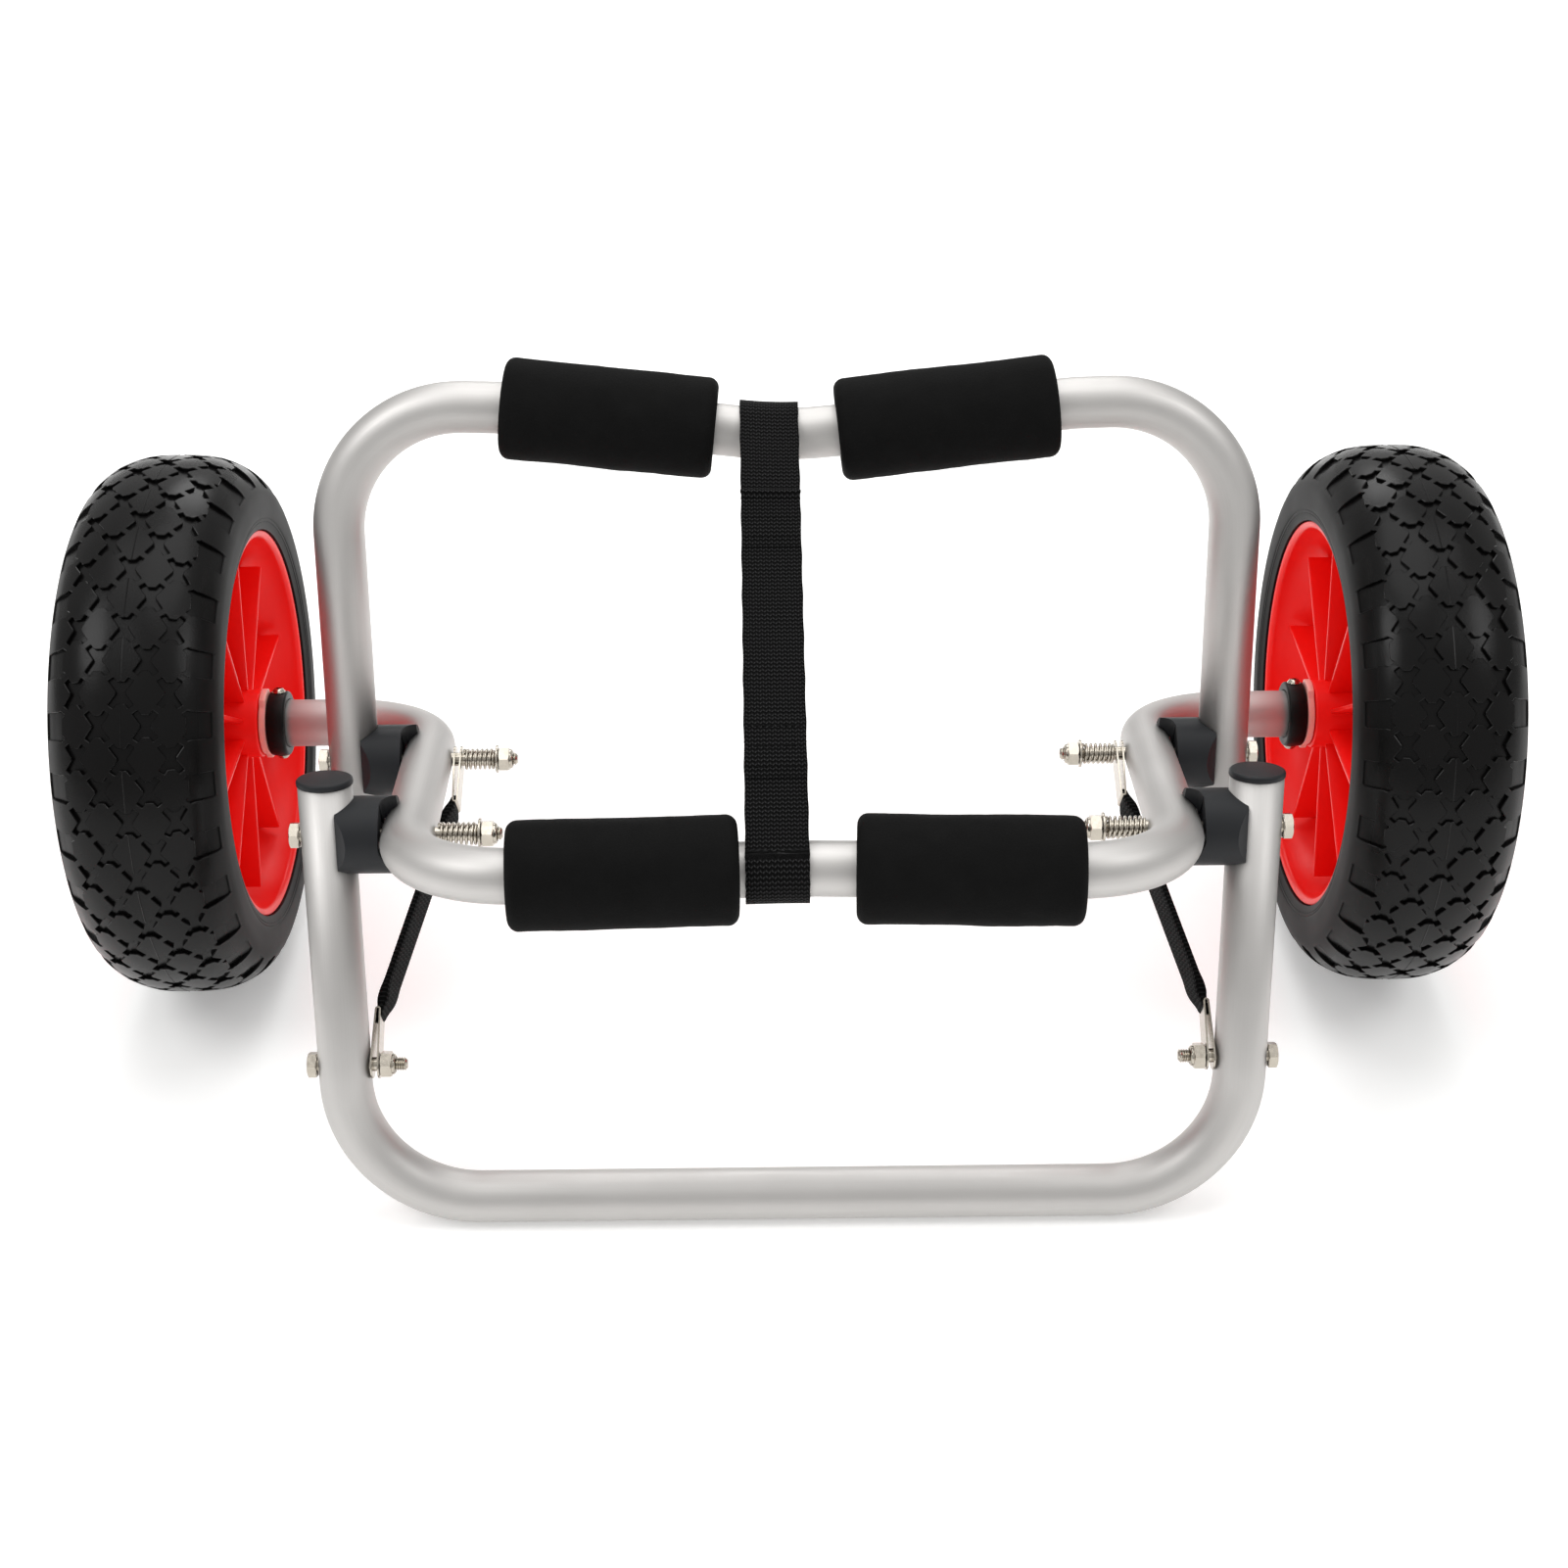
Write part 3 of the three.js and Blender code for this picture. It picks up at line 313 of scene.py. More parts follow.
# %% [markdown]
# ### Foam, webbing and plastics
#
# The pads are closed-cell foam: nearly black and quite matt, with tiny open pores from the cut.
# Webbing is woven in rows of small chevrons, which the straps' own attribute `weave` places in
# metres across and along the band. The moulded plastics have a fine spark-eroded grain.

# %% Foam finish


def foam_finish():
    dark, pale = (0.003, 0.003, 0.003), (0.006, 0.006, 0.006)
    finish = Finish("foam", dark, 0.8, Specular_IOR_Level=0.07)
    pores = finish.add("ShaderNodeTexVoronoi", {"Vector": finish.place(), "Scale": 1100}, "Distance")
    lumps = finish.grain(90, 3)
    finish.wire(
        Base_Color=finish.blend(lumps, dark, pale),
        Normal=finish.bump(pores, 0.12 * MM, 0.7, finish.bump(lumps, 0.6 * MM, 0.35)),
    )
    return finish.material


foam = foam_finish()
print(foam.name)

# %% Webbing finish


def webbing_finish():
    """Chevron rows: a zigzag across the band shifts the yarn rows that run along it."""
    # The weave's colour is painted light: painted shade in the hollows between the yarn rows, and a painted
    # highlight on the raised crests.
    shadow, lit_crest = (0.0015, 0.0015, 0.0015), (0.034, 0.034, 0.035)
    rib_width, row_length, zigzag_share = 1.15 * MM, 1.85 * MM, 0.45
    row_height, rib_height, yarn_height = 0.35, 0.15, 0.6 * MM
    fuzz_scale, fuzz_height = 5200, 0.1 * MM
    finish = Finish("webbing", shadow, 0.65, Specular_IOR_Level=0.06)
    weave = finish.place("weave")
    across = finish.reckon("MULTIPLY", finish.part(weave, "X"), 1 / rib_width)
    along = finish.reckon("MULTIPLY", finish.part(weave, "Y"), 1 / row_length)
    zigzag = finish.reckon("MULTIPLY", finish.reckon("PINGPONG", across, 1.0), zigzag_share)
    row = finish.reckon("ADD", along, zigzag)
    crests = finish.reckon("SINE", finish.reckon("MULTIPLY", row, math.tau))
    ribs = finish.reckon("SINE", finish.reckon("MULTIPLY", across, math.tau))
    rows = finish.reckon("MULTIPLY", crests, row_height)
    yarn = finish.reckon("ADD", rows, finish.reckon("MULTIPLY", ribs, rib_height))
    height = finish.reckon("ADD", yarn, 0.5)
    fuzz = finish.grain(fuzz_scale)
    finish.wire(
        Base_Color=finish.blend(finish.ramp(height, 0.6, 1.0), shadow, lit_crest),
        Normal=finish.bump(fuzz, fuzz_height, 0.5, finish.bump(height, yarn_height, 1.0)),
    )
    return finish.material


webbing = webbing_finish()
print(webbing.name)

# %% Plastic finishes
ROUGHNESS_SPREAD = 0.04


def moulded_finish(name, dark, pale, roughness, grain_scale, **sockets):
    """Moulded plastic with a fine grain and slightly uneven colour."""
    finish = Finish(name, dark, roughness, **sockets)
    clouds = finish.grain(45)
    finish.wire(
        Base_Color=finish.blend(clouds, dark, pale),
        Roughness=finish.between(clouds, roughness - ROUGHNESS_SPREAD, roughness + ROUGHNESS_SPREAD),
        Normal=finish.bump(finish.grain(grain_scale), 0.04 * MM, 0.6),
    )
    return finish.material


charcoal = moulded_finish(
    "charcoal_plastic", (0.011, 0.012, 0.014), (0.016, 0.017, 0.019), 0.46, 2200, Specular_IOR_Level=0.2
)
black_plastic = moulded_finish(
    "black_plastic", (0.003, 0.003, 0.003), (0.005, 0.004, 0.004), 0.4, 1800, Specular_IOR_Level=0.14
)
red_plastic = moulded_finish(
    "red_plastic", (0.92, 0.008, 0.006), (0.96, 0.011, 0.008), 0.34, 700, Specular_IOR_Level=0.22
)
# The nylon is white. Its pink colour is painted red light from the red rims, reflected onto it and shining
# through it.
nylon = moulded_finish(
    "nylon", (0.88, 0.36, 0.32), (0.92, 0.46, 0.41), 0.42, 900, Subsurface_Weight=0.35, Subsurface_Scale=0.003
)
print("Plastics:", charcoal.name, black_plastic.name, red_plastic.name, nylon.name)

# %% Steel and tyre finishes
WHEEL_MIDDLE = middle("right_tyre").x
TREAD_REACH, SIDEWALL_REACH = 30 * MM, 36 * MM
SIDEWALL_ROUGHNESS = 0.3


def steel_finish():
    dark, pale = (0.40, 0.365, 0.31), (0.53, 0.49, 0.425)
    finish = Finish("stainless_steel", dark, 0.2, 1.0)
    marks = finish.grain(700, 4)
    finish.wire(
        Base_Color=finish.blend(finish.grain(160), dark, pale),
        Roughness=finish.between(marks, 0.15, 0.26),
        Normal=finish.bump(marks, 0.02 * MM, 0.5),
    )
    return finish.material


def tyre_finish():
    """Foamed rubber skin: shiny black on the tread, and matt on the sidewalls beside it."""
    dark, pale = (0.0015, 0.0015, 0.0015), (0.004, 0.0036, 0.0036)
    finish = Finish("tyre_foam", dark, 0.3, Specular_IOR_Level=0.16)
    clouds = finish.grain(26, 4)
    from_middle = finish.reckon("ABSOLUTE", finish.part(finish.place(), "X"))
    off_tread = finish.reckon("ABSOLUTE", finish.reckon("SUBTRACT", from_middle, WHEEL_MIDDLE))
    matt = finish.ramp(off_tread, TREAD_REACH, SIDEWALL_REACH, 0, SIDEWALL_ROUGHNESS)
    finish.wire(
        Base_Color=finish.blend(clouds, dark, pale),
        Roughness=finish.reckon("ADD", finish.between(clouds, 0.22, 0.3), matt),
        Normal=finish.bump(finish.grain(1500), 0.05 * MM, 0.6),
    )
    return finish.material


steel = steel_finish()
tyre_rubber = tyre_finish()
print(steel.name, tyre_rubber.name)

# %% [markdown]
# ## How a piece is finished
#
# A bmesh becomes a mesh object in one place, so that every piece gets the same treatment: doubles
# merged, faces turned outwards, edges sharper than 35 degrees kept crisp and the rest shaded
# smooth. Then the piece is told which body it rides on and which solid it stands for.

# %% From bmesh to a riding piece
SHARP = math.radians(35)
MERGE = 0.002 * MM
BODIES = frame["record"]["behaviour"]["bodies"]


def to_object(name, bm, material, outwards=True):
    """Mesh object of a finished bmesh."""
    if outwards:
        bmesh.ops.remove_doubles(bm, verts=bm.verts, dist=MERGE)
        bmesh.ops.dissolve_degenerate(bm, edges=bm.edges, dist=MERGE / 2)
        bmesh.ops.recalc_face_normals(bm, faces=bm.faces)
    mesh = bpy.data.meshes.new(name)
    bm.to_mesh(mesh)
    bm.free()
    mesh.shade_smooth()
    mesh.set_sharp_from_angle(angle=SHARP)
    mesh.materials.append(material)
    made = bpy.data.objects.new(name, mesh)
    bpy.context.scene.collection.objects.link(made)
    return made


def dressed(name, node, bm, material, outwards=True):
    """A piece that rides where its solid rides and stands for it."""
    made = to_object(name, bm, material, outwards)
    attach(made, next(body for body, members in BODIES.items() if node in members))
    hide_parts(node)
    return made


def set_in_place(name, node, bm, centre, material):
    """Moves a piece drawn about the X axis to its centre, turned half round on the cart's left."""
    turn = Matrix.Rotation(0 if side_of(node) > 0 else math.pi, 4, "Z")
    bmesh.ops.transform(bm, matrix=Matrix.Translation(centre) @ turn, verts=bm.verts)
    return dressed(name, node, bm, material)


def bevel_edges(made, width, angle):
    """Small rounded edges as a modifier, only where faces meet at more than the angle."""
    rounding = made.modifiers.new("rounding", "BEVEL")
    rounding.width = width
    rounding.segments = 2
    rounding.limit_method = "ANGLE"
    rounding.angle_limit = math.radians(angle)
    rounding.harden_normals = True
    return made


def thicken(made, name, thickness, offset):
    """Gives a sheet its thickness: inwards for -1, to both sides for 0 and outwards for 1."""
    sheet = made.modifiers.new(name, "SOLIDIFY")
    sheet.thickness = thickness
    sheet.offset = offset
    return made


print("The bodies are", sorted(BODIES))

# %% [markdown]
# ### Growing a shape row by row
#
# Tubes, springs, links and straps all start as one row of vertices with the edges between them.
# The row is extruded straight on or spun round an axis, and what comes out is the next row to go
# on from.

# %% Rows, and other small steps
ORIGIN, X_AXIS = (0, 0, 0), (1, 0, 0)


def everything(bm):
    return bm.verts[:] + bm.edges[:] + bm.faces[:]


def open_edges(bm):
    return [edge for edge in bm.edges if edge.is_boundary]


def new_row(made):
    """The vertices among what an operator made, and the edges between them."""
    verts = [part for part in made if isinstance(part, bmesh.types.BMVert)]
    row = set(verts)
    edges = [part for part in made if isinstance(part, bmesh.types.BMEdge) and row.issuperset(part.verts)]
    return verts, edges


def extrude_row(bm, edges, step=ORIGIN):
    """Extrudes a row by a step and gives the new row."""
    verts, edges = new_row(bmesh.ops.extrude_edge_only(bm, edges=edges)["geom"])
    bmesh.ops.translate(bm, verts=verts, vec=step)
    return verts, edges


def spin_row(bm, row, centre, axis, angle, steps=1, slide=ORIGIN):
    """Spins a row of vertices and edges, sliding it along each step, and gives the last row."""
    geom = row[0] + row[1]
    made = bmesh.ops.spin(bm, geom=geom, cent=centre, axis=axis, dvec=slide, angle=angle, steps=steps)
    return new_row(made["geom_last"])


def repeat_round(bm, count, way=1):
    """Copies a shape about the X axis until there are count of it."""
    bmesh.ops.spin(
        bm,
        geom=everything(bm),
        cent=ORIGIN,
        axis=X_AXIS,
        angle=way * math.tau / count * (count - 1),
        steps=count - 1,
        use_duplicate=True,
    )


def extrude_faces(bm, faces, step=ORIGIN):
    """Extrudes a sheet into a solid and gives the vertices of its new side."""
    made = bmesh.ops.extrude_face_region(bm, geom=faces, use_keep_orig=True)["geom"]
    verts, _ = new_row(made)
    bmesh.ops.translate(bm, verts=verts, vec=step)
    return verts


def face_away(bm, inside):
    """Turns the faces of an open sheet so that the first one looks away from a point."""
    bmesh.ops.recalc_face_normals(bm, faces=bm.faces)
    bm.faces.ensure_lookup_table()
    first = bm.faces[0]
    if first.normal.dot(first.calc_center_median() - inside) < 0:
        bmesh.ops.reverse_faces(bm, faces=bm.faces)


print("Helpers for rows, copies and sheets ready")

# %% [markdown]
# ## Bending the tubes
#
# A tube bender feeds straight tube forward and wraps it round a wheel. The mesh is made the same
# way: a ring of vertices is extruded for a straight run, and spun about the wheel's centre for a
# bend. The corner points of the real frame with their bend radii say where the wheel stands. Each
# new ring also notes how far along the tube it is, for the streaks of the finish.

# %% Straight runs and bends from corner points
TUBE_RADIUS = 11.1 * MM
TUBE_WALL = 1.6 * MM
TUBE_FACES = 72
BEND_STEP = math.radians(3)


def bender_moves(corners):
    """Runs and bends through corner points that are given with their bend radii."""
    moves = []
    at = corners[0][0]
    for (before, _), (corner, radius), (after, _) in zip(corners, corners[1:], corners[2:]):
        came = (corner - before).normalized()
        leaves = (after - corner).normalized()
        turn = came.angle(leaves)
        trim = radius * math.tan(turn / 2)
        start = corner - came * trim
        inward = (leaves - came * came.dot(leaves)).normalized()
        moves.append({"run": start - at})
        wheel = start + inward * radius
        moves.append({"wheel": wheel, "axis": came.cross(inward), "turn": turn, "arc": radius * turn})
        at = corner + leaves * trim
    moves.append({"run": corners[-1][0] - at})
    return moves


def bent_tube(name, node, corners, material):
    bm = bmesh.new()
    skin = bm.verts.layers.float_vector.new("skin")
    start, aim = corners[0][0], corners[1][0]
    place = Matrix.Translation(start) @ (aim - start).to_track_quat("Z", "Y").to_matrix().to_4x4()
    bmesh.ops.create_circle(bm, segments=TUBE_FACES, radius=TUBE_RADIUS, matrix=place)
    for number, vert in enumerate(bm.verts):
        angle = math.tau * number / TUBE_FACES
        vert[skin] = (TUBE_RADIUS * math.cos(angle), TUBE_RADIUS * math.sin(angle), 0)
    ring, travelled = (bm.verts[:], bm.edges[:]), 0
    for move in bender_moves(corners):
        steps = 1 if "run" in move else max(2, round(move["turn"] / BEND_STEP))
        for _ in range(steps):
            if "run" in move:
                travelled += move["run"].length
                ring = extrude_row(bm, ring[1], move["run"])
            else:
                travelled += move["arc"] / steps
                ring = spin_row(bm, ring, move["wheel"], move["axis"], move["turn"] / steps)
            for vert in ring[0]:
                vert[skin] = (vert[skin].x, vert[skin].y, travelled)
    face_away(bm, (start + aim) / 2)
    print(name, "is", round(travelled / MM), "mm long before bending")
    return thicken(dressed(name, node, bm, material, outwards=False), "wall", TUBE_WALL, -1)

# %% [markdown]
# ### The three tubes
#
# The numbers are the real frame's: how far apart the arms and legs stand, the bend radii, and the
# shallow V in both crossbars, which keeps a round hull centred.

# %% Axle frame, upper frame and kickstand
REAR_ARM, FRONT_ARM = 163 * MM, 157 * MM
UPPER_LEG, STAND_LEG = 196 * MM, 190 * MM
FRONT_BAR_REACH, FRONT_BAR_DIP = 213.2 * MM, 8 * MM
UPPER_BAR_RISE, UPPER_BAR_DIP, DIP_START = 158.9 * MM, 13.8 * MM, 125 * MM
ARM_BEND, LEG_BEND, DIP_BEND, DIP_START_BEND = 46 * MM, 55 * MM, 180 * MM, 250 * MM
LEG_TAIL, STAND_DROP = 21.7 * MM, 166.4 * MM
AXLE_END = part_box("axle_frame_tube")[1].x
arm_slope = (REAR_ARM - FRONT_ARM) / (front_reach - rear_reach)


def arm_x(reach):
    """How far out the arm's centre line runs at a distance from the axle."""
    return REAR_ARM - arm_slope * (reach - rear_reach)


def both_ways(half):
    """Mirrors the left half of a tube's corners into the whole tube."""
    mirrored = [(Vector((-point.x, point.y, point.z)), radius) for point, radius in reversed(half)]
    return half + [corner for corner in mirrored if corner[0].x != 0]


TUBES = {
    "axle_frame": [
        (leaning(-AXLE_END, 0, 0), 0),
        (leaning(-arm_x(0), 0, 0), ARM_BEND),
        (leaning(-arm_x(FRONT_BAR_REACH), FRONT_BAR_REACH, 0), ARM_BEND),
        (leaning(0, FRONT_BAR_REACH - FRONT_BAR_DIP, 0), DIP_BEND),
    ],
    "upper_frame": [
        (leaning(-UPPER_LEG, rear_reach, -LEG_TAIL), 0),
        (leaning(-UPPER_LEG, rear_reach, UPPER_BAR_RISE), LEG_BEND),
        (leaning(-DIP_START, rear_reach, UPPER_BAR_RISE), DIP_START_BEND),
        (leaning(0, rear_reach, UPPER_BAR_RISE - UPPER_BAR_DIP), DIP_BEND),
    ],
    "kickstand": [
        (leaning(-STAND_LEG, front_reach, LEG_TAIL), 0),
        (leaning(-STAND_LEG, front_reach, -STAND_DROP), LEG_BEND),
    ],
}
for name, half in TUBES.items():
    bent_tube(f"{name}_bent_tube", f"{name}_tube", both_ways(half), aluminium)

# %% [markdown]
# ## Turned pieces
#
# Many pieces are round about one line: caps, collars, washers, pads, hubs. Each is an outline that
# is spun a full turn, as on a lathe. The outline is written as corners, and a corner may have a
# fillet radius, because nothing real has a perfectly sharp edge.

# %% Outlines with fillets, and the lathe
LATHE_STEPS = 64


def filleted(corners, steps=4):
    """Closed outline of (x, r) corners, where a third value rounds a corner with that radius."""
    outline = []
    for number, (x, r, *fillet) in enumerate(corners):
        here = Vector((x, r))
        if not fillet:
            outline.append(here)
            continue
        before = Vector(corners[number - 1][:2])
        after = Vector(corners[(number + 1) % len(corners)][:2])
        into, out = (before - here).normalized(), (after - here).normalized()
        half = into.angle(out) / 2
        centre = here + (into + out).normalized() * (fillet[0] / math.sin(half))
        start = here + into * (fillet[0] / math.tan(half)) - centre
        swing = start.angle_signed(here + out * (fillet[0] / math.tan(half)) - centre)
        for step in range(steps + 1):
            outline.append(centre + Matrix.Rotation(-swing * step / steps, 2) @ start)
    return outline


def closed_row(bm, outline):
    """Vertices and edges of a closed outline of (x, r) points."""
    verts = [bm.verts.new((x, 0, r)) for x, r in outline]
    return verts, [bm.edges.new(pair) for pair in zip(verts, verts[1:] + verts[:1])]


def lathe(corners, steps=LATHE_STEPS, arc_steps=4):
    """Spins a closed outline a full turn about X."""
    bm = bmesh.new()
    verts, edges = closed_row(bm, filleted(corners, arc_steps))
    geom = verts + edges
    bmesh.ops.spin(bm, geom=geom, cent=ORIGIN, axis=X_AXIS, angle=math.tau, steps=steps, use_merge=True)
    bmesh.ops.remove_doubles(bm, verts=bm.verts, dist=MERGE)
    bmesh.ops.dissolve_degenerate(bm, edges=bm.edges, dist=MERGE / 2)
    return bm


def sleeve(start, end, bore, radius, edge):
    """Outline of a ring with rounded outer edges."""
    return [(start, bore), (end, bore), (end, radius, edge), (start, radius, edge)]


def stand_on(bm, point, direction):
    """Moves a shape drawn along X onto a line through a point."""
    turn = direction.to_track_quat("X", "Z").to_matrix().to_4x4()
    bmesh.ops.transform(bm, matrix=Matrix.Translation(point) @ turn, verts=bm.verts)
    return bm


print("A fillet adds", len(filleted([(0, 0), (0, 1, 0.2), (1, 1)])) - 3, "points to an outline")

# %% [markdown]
# ## Foam pads
#
# Each pad is a thick sleeve of closed-cell foam that was pushed over the bar, so it is the tube's
# size inside and 44 mm outside, with edges that are rounded from handling. It is turned like the
# other round pieces. Noise then moves the outer vertices by a fraction of a millimetre, because
# cut foam is never quite true.

# %% Foam pads
PAD_RADIUS, PAD_EDGE = 22 * MM, 4.5 * MM
BORE = TUBE_RADIUS + 0.3 * MM
BORE_EASE = 0.8 * MM
PAD_RINGS, PAD_FACES, PAD_ARC_STEPS = 26, 80, 8
PAD_UNEVEN = 0.45 * MM
LUMP, SMALL_LUMP, SMALL_SHARE = 22 * MM, 5 * MM, 0.35


def upper_bar(x):
    return leaning(x, rear_reach, UPPER_BAR_RISE - UPPER_BAR_DIP * (1 - abs(x) / DIP_START))


def front_bar(x):
    return leaning(x, FRONT_BAR_REACH - FRONT_BAR_DIP * (1 - abs(x) / arm_x(FRONT_BAR_REACH)), 0)


PADS = {
    "upper_left": (upper_bar, -122.1, -31),
    "upper_right": (upper_bar, 22, 115.9),
    "front_left": (front_bar, -111.8, -21.7),
    "front_right": (front_bar, 24.8, 113.5),
}


def foam_pad(name, node, start, end):
    half = (end - start).length / 2
    corners = [
        (-half, BORE, BORE_EASE),
        (-half, PAD_RADIUS, PAD_EDGE),
        (half, PAD_RADIUS, PAD_EDGE),
        (half, BORE, BORE_EASE),
    ]
    bm = lathe(corners, PAD_FACES, PAD_ARC_STEPS)
    for ring in range(1, PAD_RINGS):
        x = (half - PAD_EDGE) * (2 * ring / PAD_RINGS - 1)
        bmesh.ops.bisect_plane(bm, geom=everything(bm), plane_co=(x, 0, 0), plane_no=X_AXIS)
    seed = Vector((len(name), start.x / MM, end.z / MM))
    for vert in bm.verts:
        outwards = Vector((0, vert.co.y, vert.co.z))
        share = max(0, (outwards.length - BORE) / (PAD_RADIUS - BORE))
        wobble = noise.noise(vert.co / LUMP + seed) + SMALL_SHARE * noise.noise(vert.co / SMALL_LUMP + seed)
        vert.co -= outwards.normalized() * PAD_UNEVEN * share * (0.5 + wobble)
    pad = dressed(name, node, stand_on(bm, (start + end) / 2, end - start), foam)


for place, (on_bar, start, end) in PADS.items():
    foam_pad(f"{place}_foam", f"{place}_pad", on_bar(start * MM), on_bar(end * MM))
print("Four pads of", round(2 * PAD_RADIUS / MM), "mm foam")

# %% [markdown]
# ## Plastic end caps
#
# The ends of the kickstand's legs and of the upper frame's legs are closed by push-in caps. What
# shows is a soft-edged disc, a little wider than the tube, and the plug goes into the bore.

# %% End caps
CAP_RADIUS, CAP_EDGE = TUBE_RADIUS + 0.4 * MM, 1.0 * MM
CAP_THICKNESS = 2.5 * MM
PLUG_RADIUS, PLUG_DEPTH = 9.2 * MM, 10 * MM
SEAT_GAP = 0.3 * MM


def push_in_cap(place, tube_end, outwards):
    corners = [
        (-PLUG_DEPTH, 0),
        (-PLUG_DEPTH, PLUG_RADIUS, 1 * MM),
        (SEAT_GAP, PLUG_RADIUS),
        (SEAT_GAP, CAP_RADIUS, CAP_EDGE / 3),
        (SEAT_GAP + CAP_THICKNESS, CAP_RADIUS, CAP_EDGE),
        (SEAT_GAP + CAP_THICKNESS, 0),
    ]
    dressed(f"{place}_cap", f"{place}_end_cap", stand_on(lathe(corners), tube_end, outwards), charcoal)


for word in SIDES:
    side = side_of(f"{word}_tyre")
    push_in_cap(f"front_{word}", leaning(side * STAND_LEG, front_reach, LEG_TAIL), upward)
    push_in_cap(f"rear_{word}", leaning(side * UPPER_LEG, rear_reach, -LEG_TAIL), -upward)
print("Four push-in caps")

# %% [markdown]
# ## Cutting one shape out of another
#
# The saddles, the hexagons, the collar screws and the wheel pins are shapes with cuts. The Boolean
# modifier does that well when both shapes are closed. It is applied at once, so what follows works
# on a plain mesh.

# %% Boolean helper


def carve(target, cutter, operation="DIFFERENCE"):
    """Applies a Boolean of two bmeshes and returns the result as a bmesh."""
    shapes = []
    for bm in (target, cutter):
        bmesh.ops.recalc_face_normals(bm, faces=bm.faces)
        mesh = bpy.data.meshes.new("carving")
        bm.to_mesh(mesh)
        bm.free()
        shapes.append(bpy.data.objects.new("carving", mesh))
        bpy.context.scene.collection.objects.link(shapes[-1])
    boolean = shapes[0].modifiers.new("carve", "BOOLEAN")
    boolean.object = shapes[1]
    boolean.operation = operation
    boolean.solver = "EXACT"
    bpy.context.view_layer.update()
    evaluated = shapes[0].evaluated_get(bpy.context.evaluated_depsgraph_get())
    result = bmesh.new()
    result.from_mesh(evaluated.to_mesh())
    evaluated.to_mesh_clear()
    for shape in shapes:
        mesh = shape.data
        bpy.data.objects.remove(shape)
        bpy.data.meshes.remove(mesh)
    return result


def bar(radius, start, end, segments):
    """Closed cylinder between two points."""
    bm = bmesh.new()
    run = Vector(end) - Vector(start)
    turn = run.to_track_quat("Z", "Y").to_matrix().to_4x4()
    place = Matrix.Translation((Vector(start) + Vector(end)) / 2) @ turn
    bmesh.ops.create_cone(
        bm, cap_ends=True, segments=segments, radius1=radius, radius2=radius, depth=run.length, matrix=place
    )
    return bm


print("Boolean helper ready")

# %% [markdown]
# ## Saddles
#
# Between each leg and its arm sits a moulded saddle. It starts as a 32 mm round block on the pivot
# bolt. The leg's groove is cut across one end and the arm's across the other. The arm side also
# needs room for the fold, so its groove opens like an hourglass up to 65 degrees. The horns that
# hug the leg are tapered at 45 degrees.

# %% Saddles
SADDLE_RADIUS = 16 * MM
SADDLE_WRAP = 6.1 * MM
SADDLE_FACES = 96
SADDLE_EDGE = 0.45 * MM
GROOVE_RADIUS = TUBE_RADIUS + SEAT_GAP
GROOVE_WAIST = 0.45 * GROOVE_RADIUS
FOLD_RANGE = math.radians(65)
HORN_TAPER = 4.5 * MM
CUT_REACH = SADDLE_RADIUS + 2 * MM


def about_x(bm, angle):
    bmesh.ops.rotate(bm, verts=bm.verts, cent=ORIGIN, matrix=Matrix.Rotation(angle, 3, "X"))
    return bm


def hourglass(slope):
    """Solid that the arm sweeps as it folds, about the X axis through the arm's centre."""
    spread = CUT_REACH * math.tan(FOLD_RANGE / 2)
    right = [(spread, -CUT_REACH), (GROOVE_WAIST, 0), (spread, CUT_REACH)]
    outline = [(-z, -y) for z, y in right] + right
    bm = bmesh.new()
    face = bm.faces.new([bm.verts.new((-GROOVE_RADIUS, y, z)) for z, y in outline])
    extrude_faces(bm, [face], (2 * GROOVE_RADIUS, 0, 0))
    for vert in bm.verts:
        vert.co.x += slope * vert.co.y
    return bm


def saddle(place, pivot, arm, leg):
    """Drawn with X outwards from the arm, Y to the rear along the arm and Z square to it."""
    node = f"{place}_saddle"
    leg_line = leg - arm
    tip = leg_line - TUBE_RADIUS + SADDLE_WRAP
    block = bar(SADDLE_RADIUS, (TUBE_RADIUS - SADDLE_WRAP, 0, 0), (tip, 0, 0), SADDLE_FACES)
    leg_groove = bar(GROOVE_RADIUS, (leg_line, 0, -CUT_REACH), (leg_line, 0, CUT_REACH), SADDLE_FACES)
    block = carve(block, leg_groove)
    drift = arm_slope * CUT_REACH
    for angle in (0, -FOLD_RANGE):
        arm_groove = bar(GROOVE_RADIUS, (drift, CUT_REACH, 0), (-drift, -CUT_REACH, 0), SADDLE_FACES)
        block = carve(block, about_x(arm_groove, angle))
    half_fold = FOLD_RANGE / 2
    block = carve(block, about_x(hourglass(arm_slope / math.cos(half_fold)), -half_fold))
    for way in (-1, 1):
        bmesh.ops.bisect_plane(
            block,
            geom=everything(block),
            plane_co=(tip - HORN_TAPER, way * SADDLE_RADIUS, 0),
            plane_no=Vector((1, way, 0)).normalized(),
            clear_outer=True,
        )
        bmesh.ops.holes_fill(block, edges=open_edges(block), sides=0)
    outwards = ACROSS * side_of(node)
    axes = Matrix((outwards, -forward, upward)).transposed().to_4x4()
    bmesh.ops.transform(block, matrix=Matrix.Translation(pivot + outwards * arm) @ axes, verts=block.verts)
    bevel_edges(dressed(f"{place}_moulded_saddle", node, block, charcoal), SADDLE_EDGE, angle=32)


for word in SIDES:
    saddle(f"rear_{word}", rear_pivot, REAR_ARM, UPPER_LEG)
    saddle(f"front_{word}", front_pivot, FRONT_ARM, STAND_LEG)
print("Four saddles,", round(SADDLE_RADIUS * 2 / MM), "mm round")

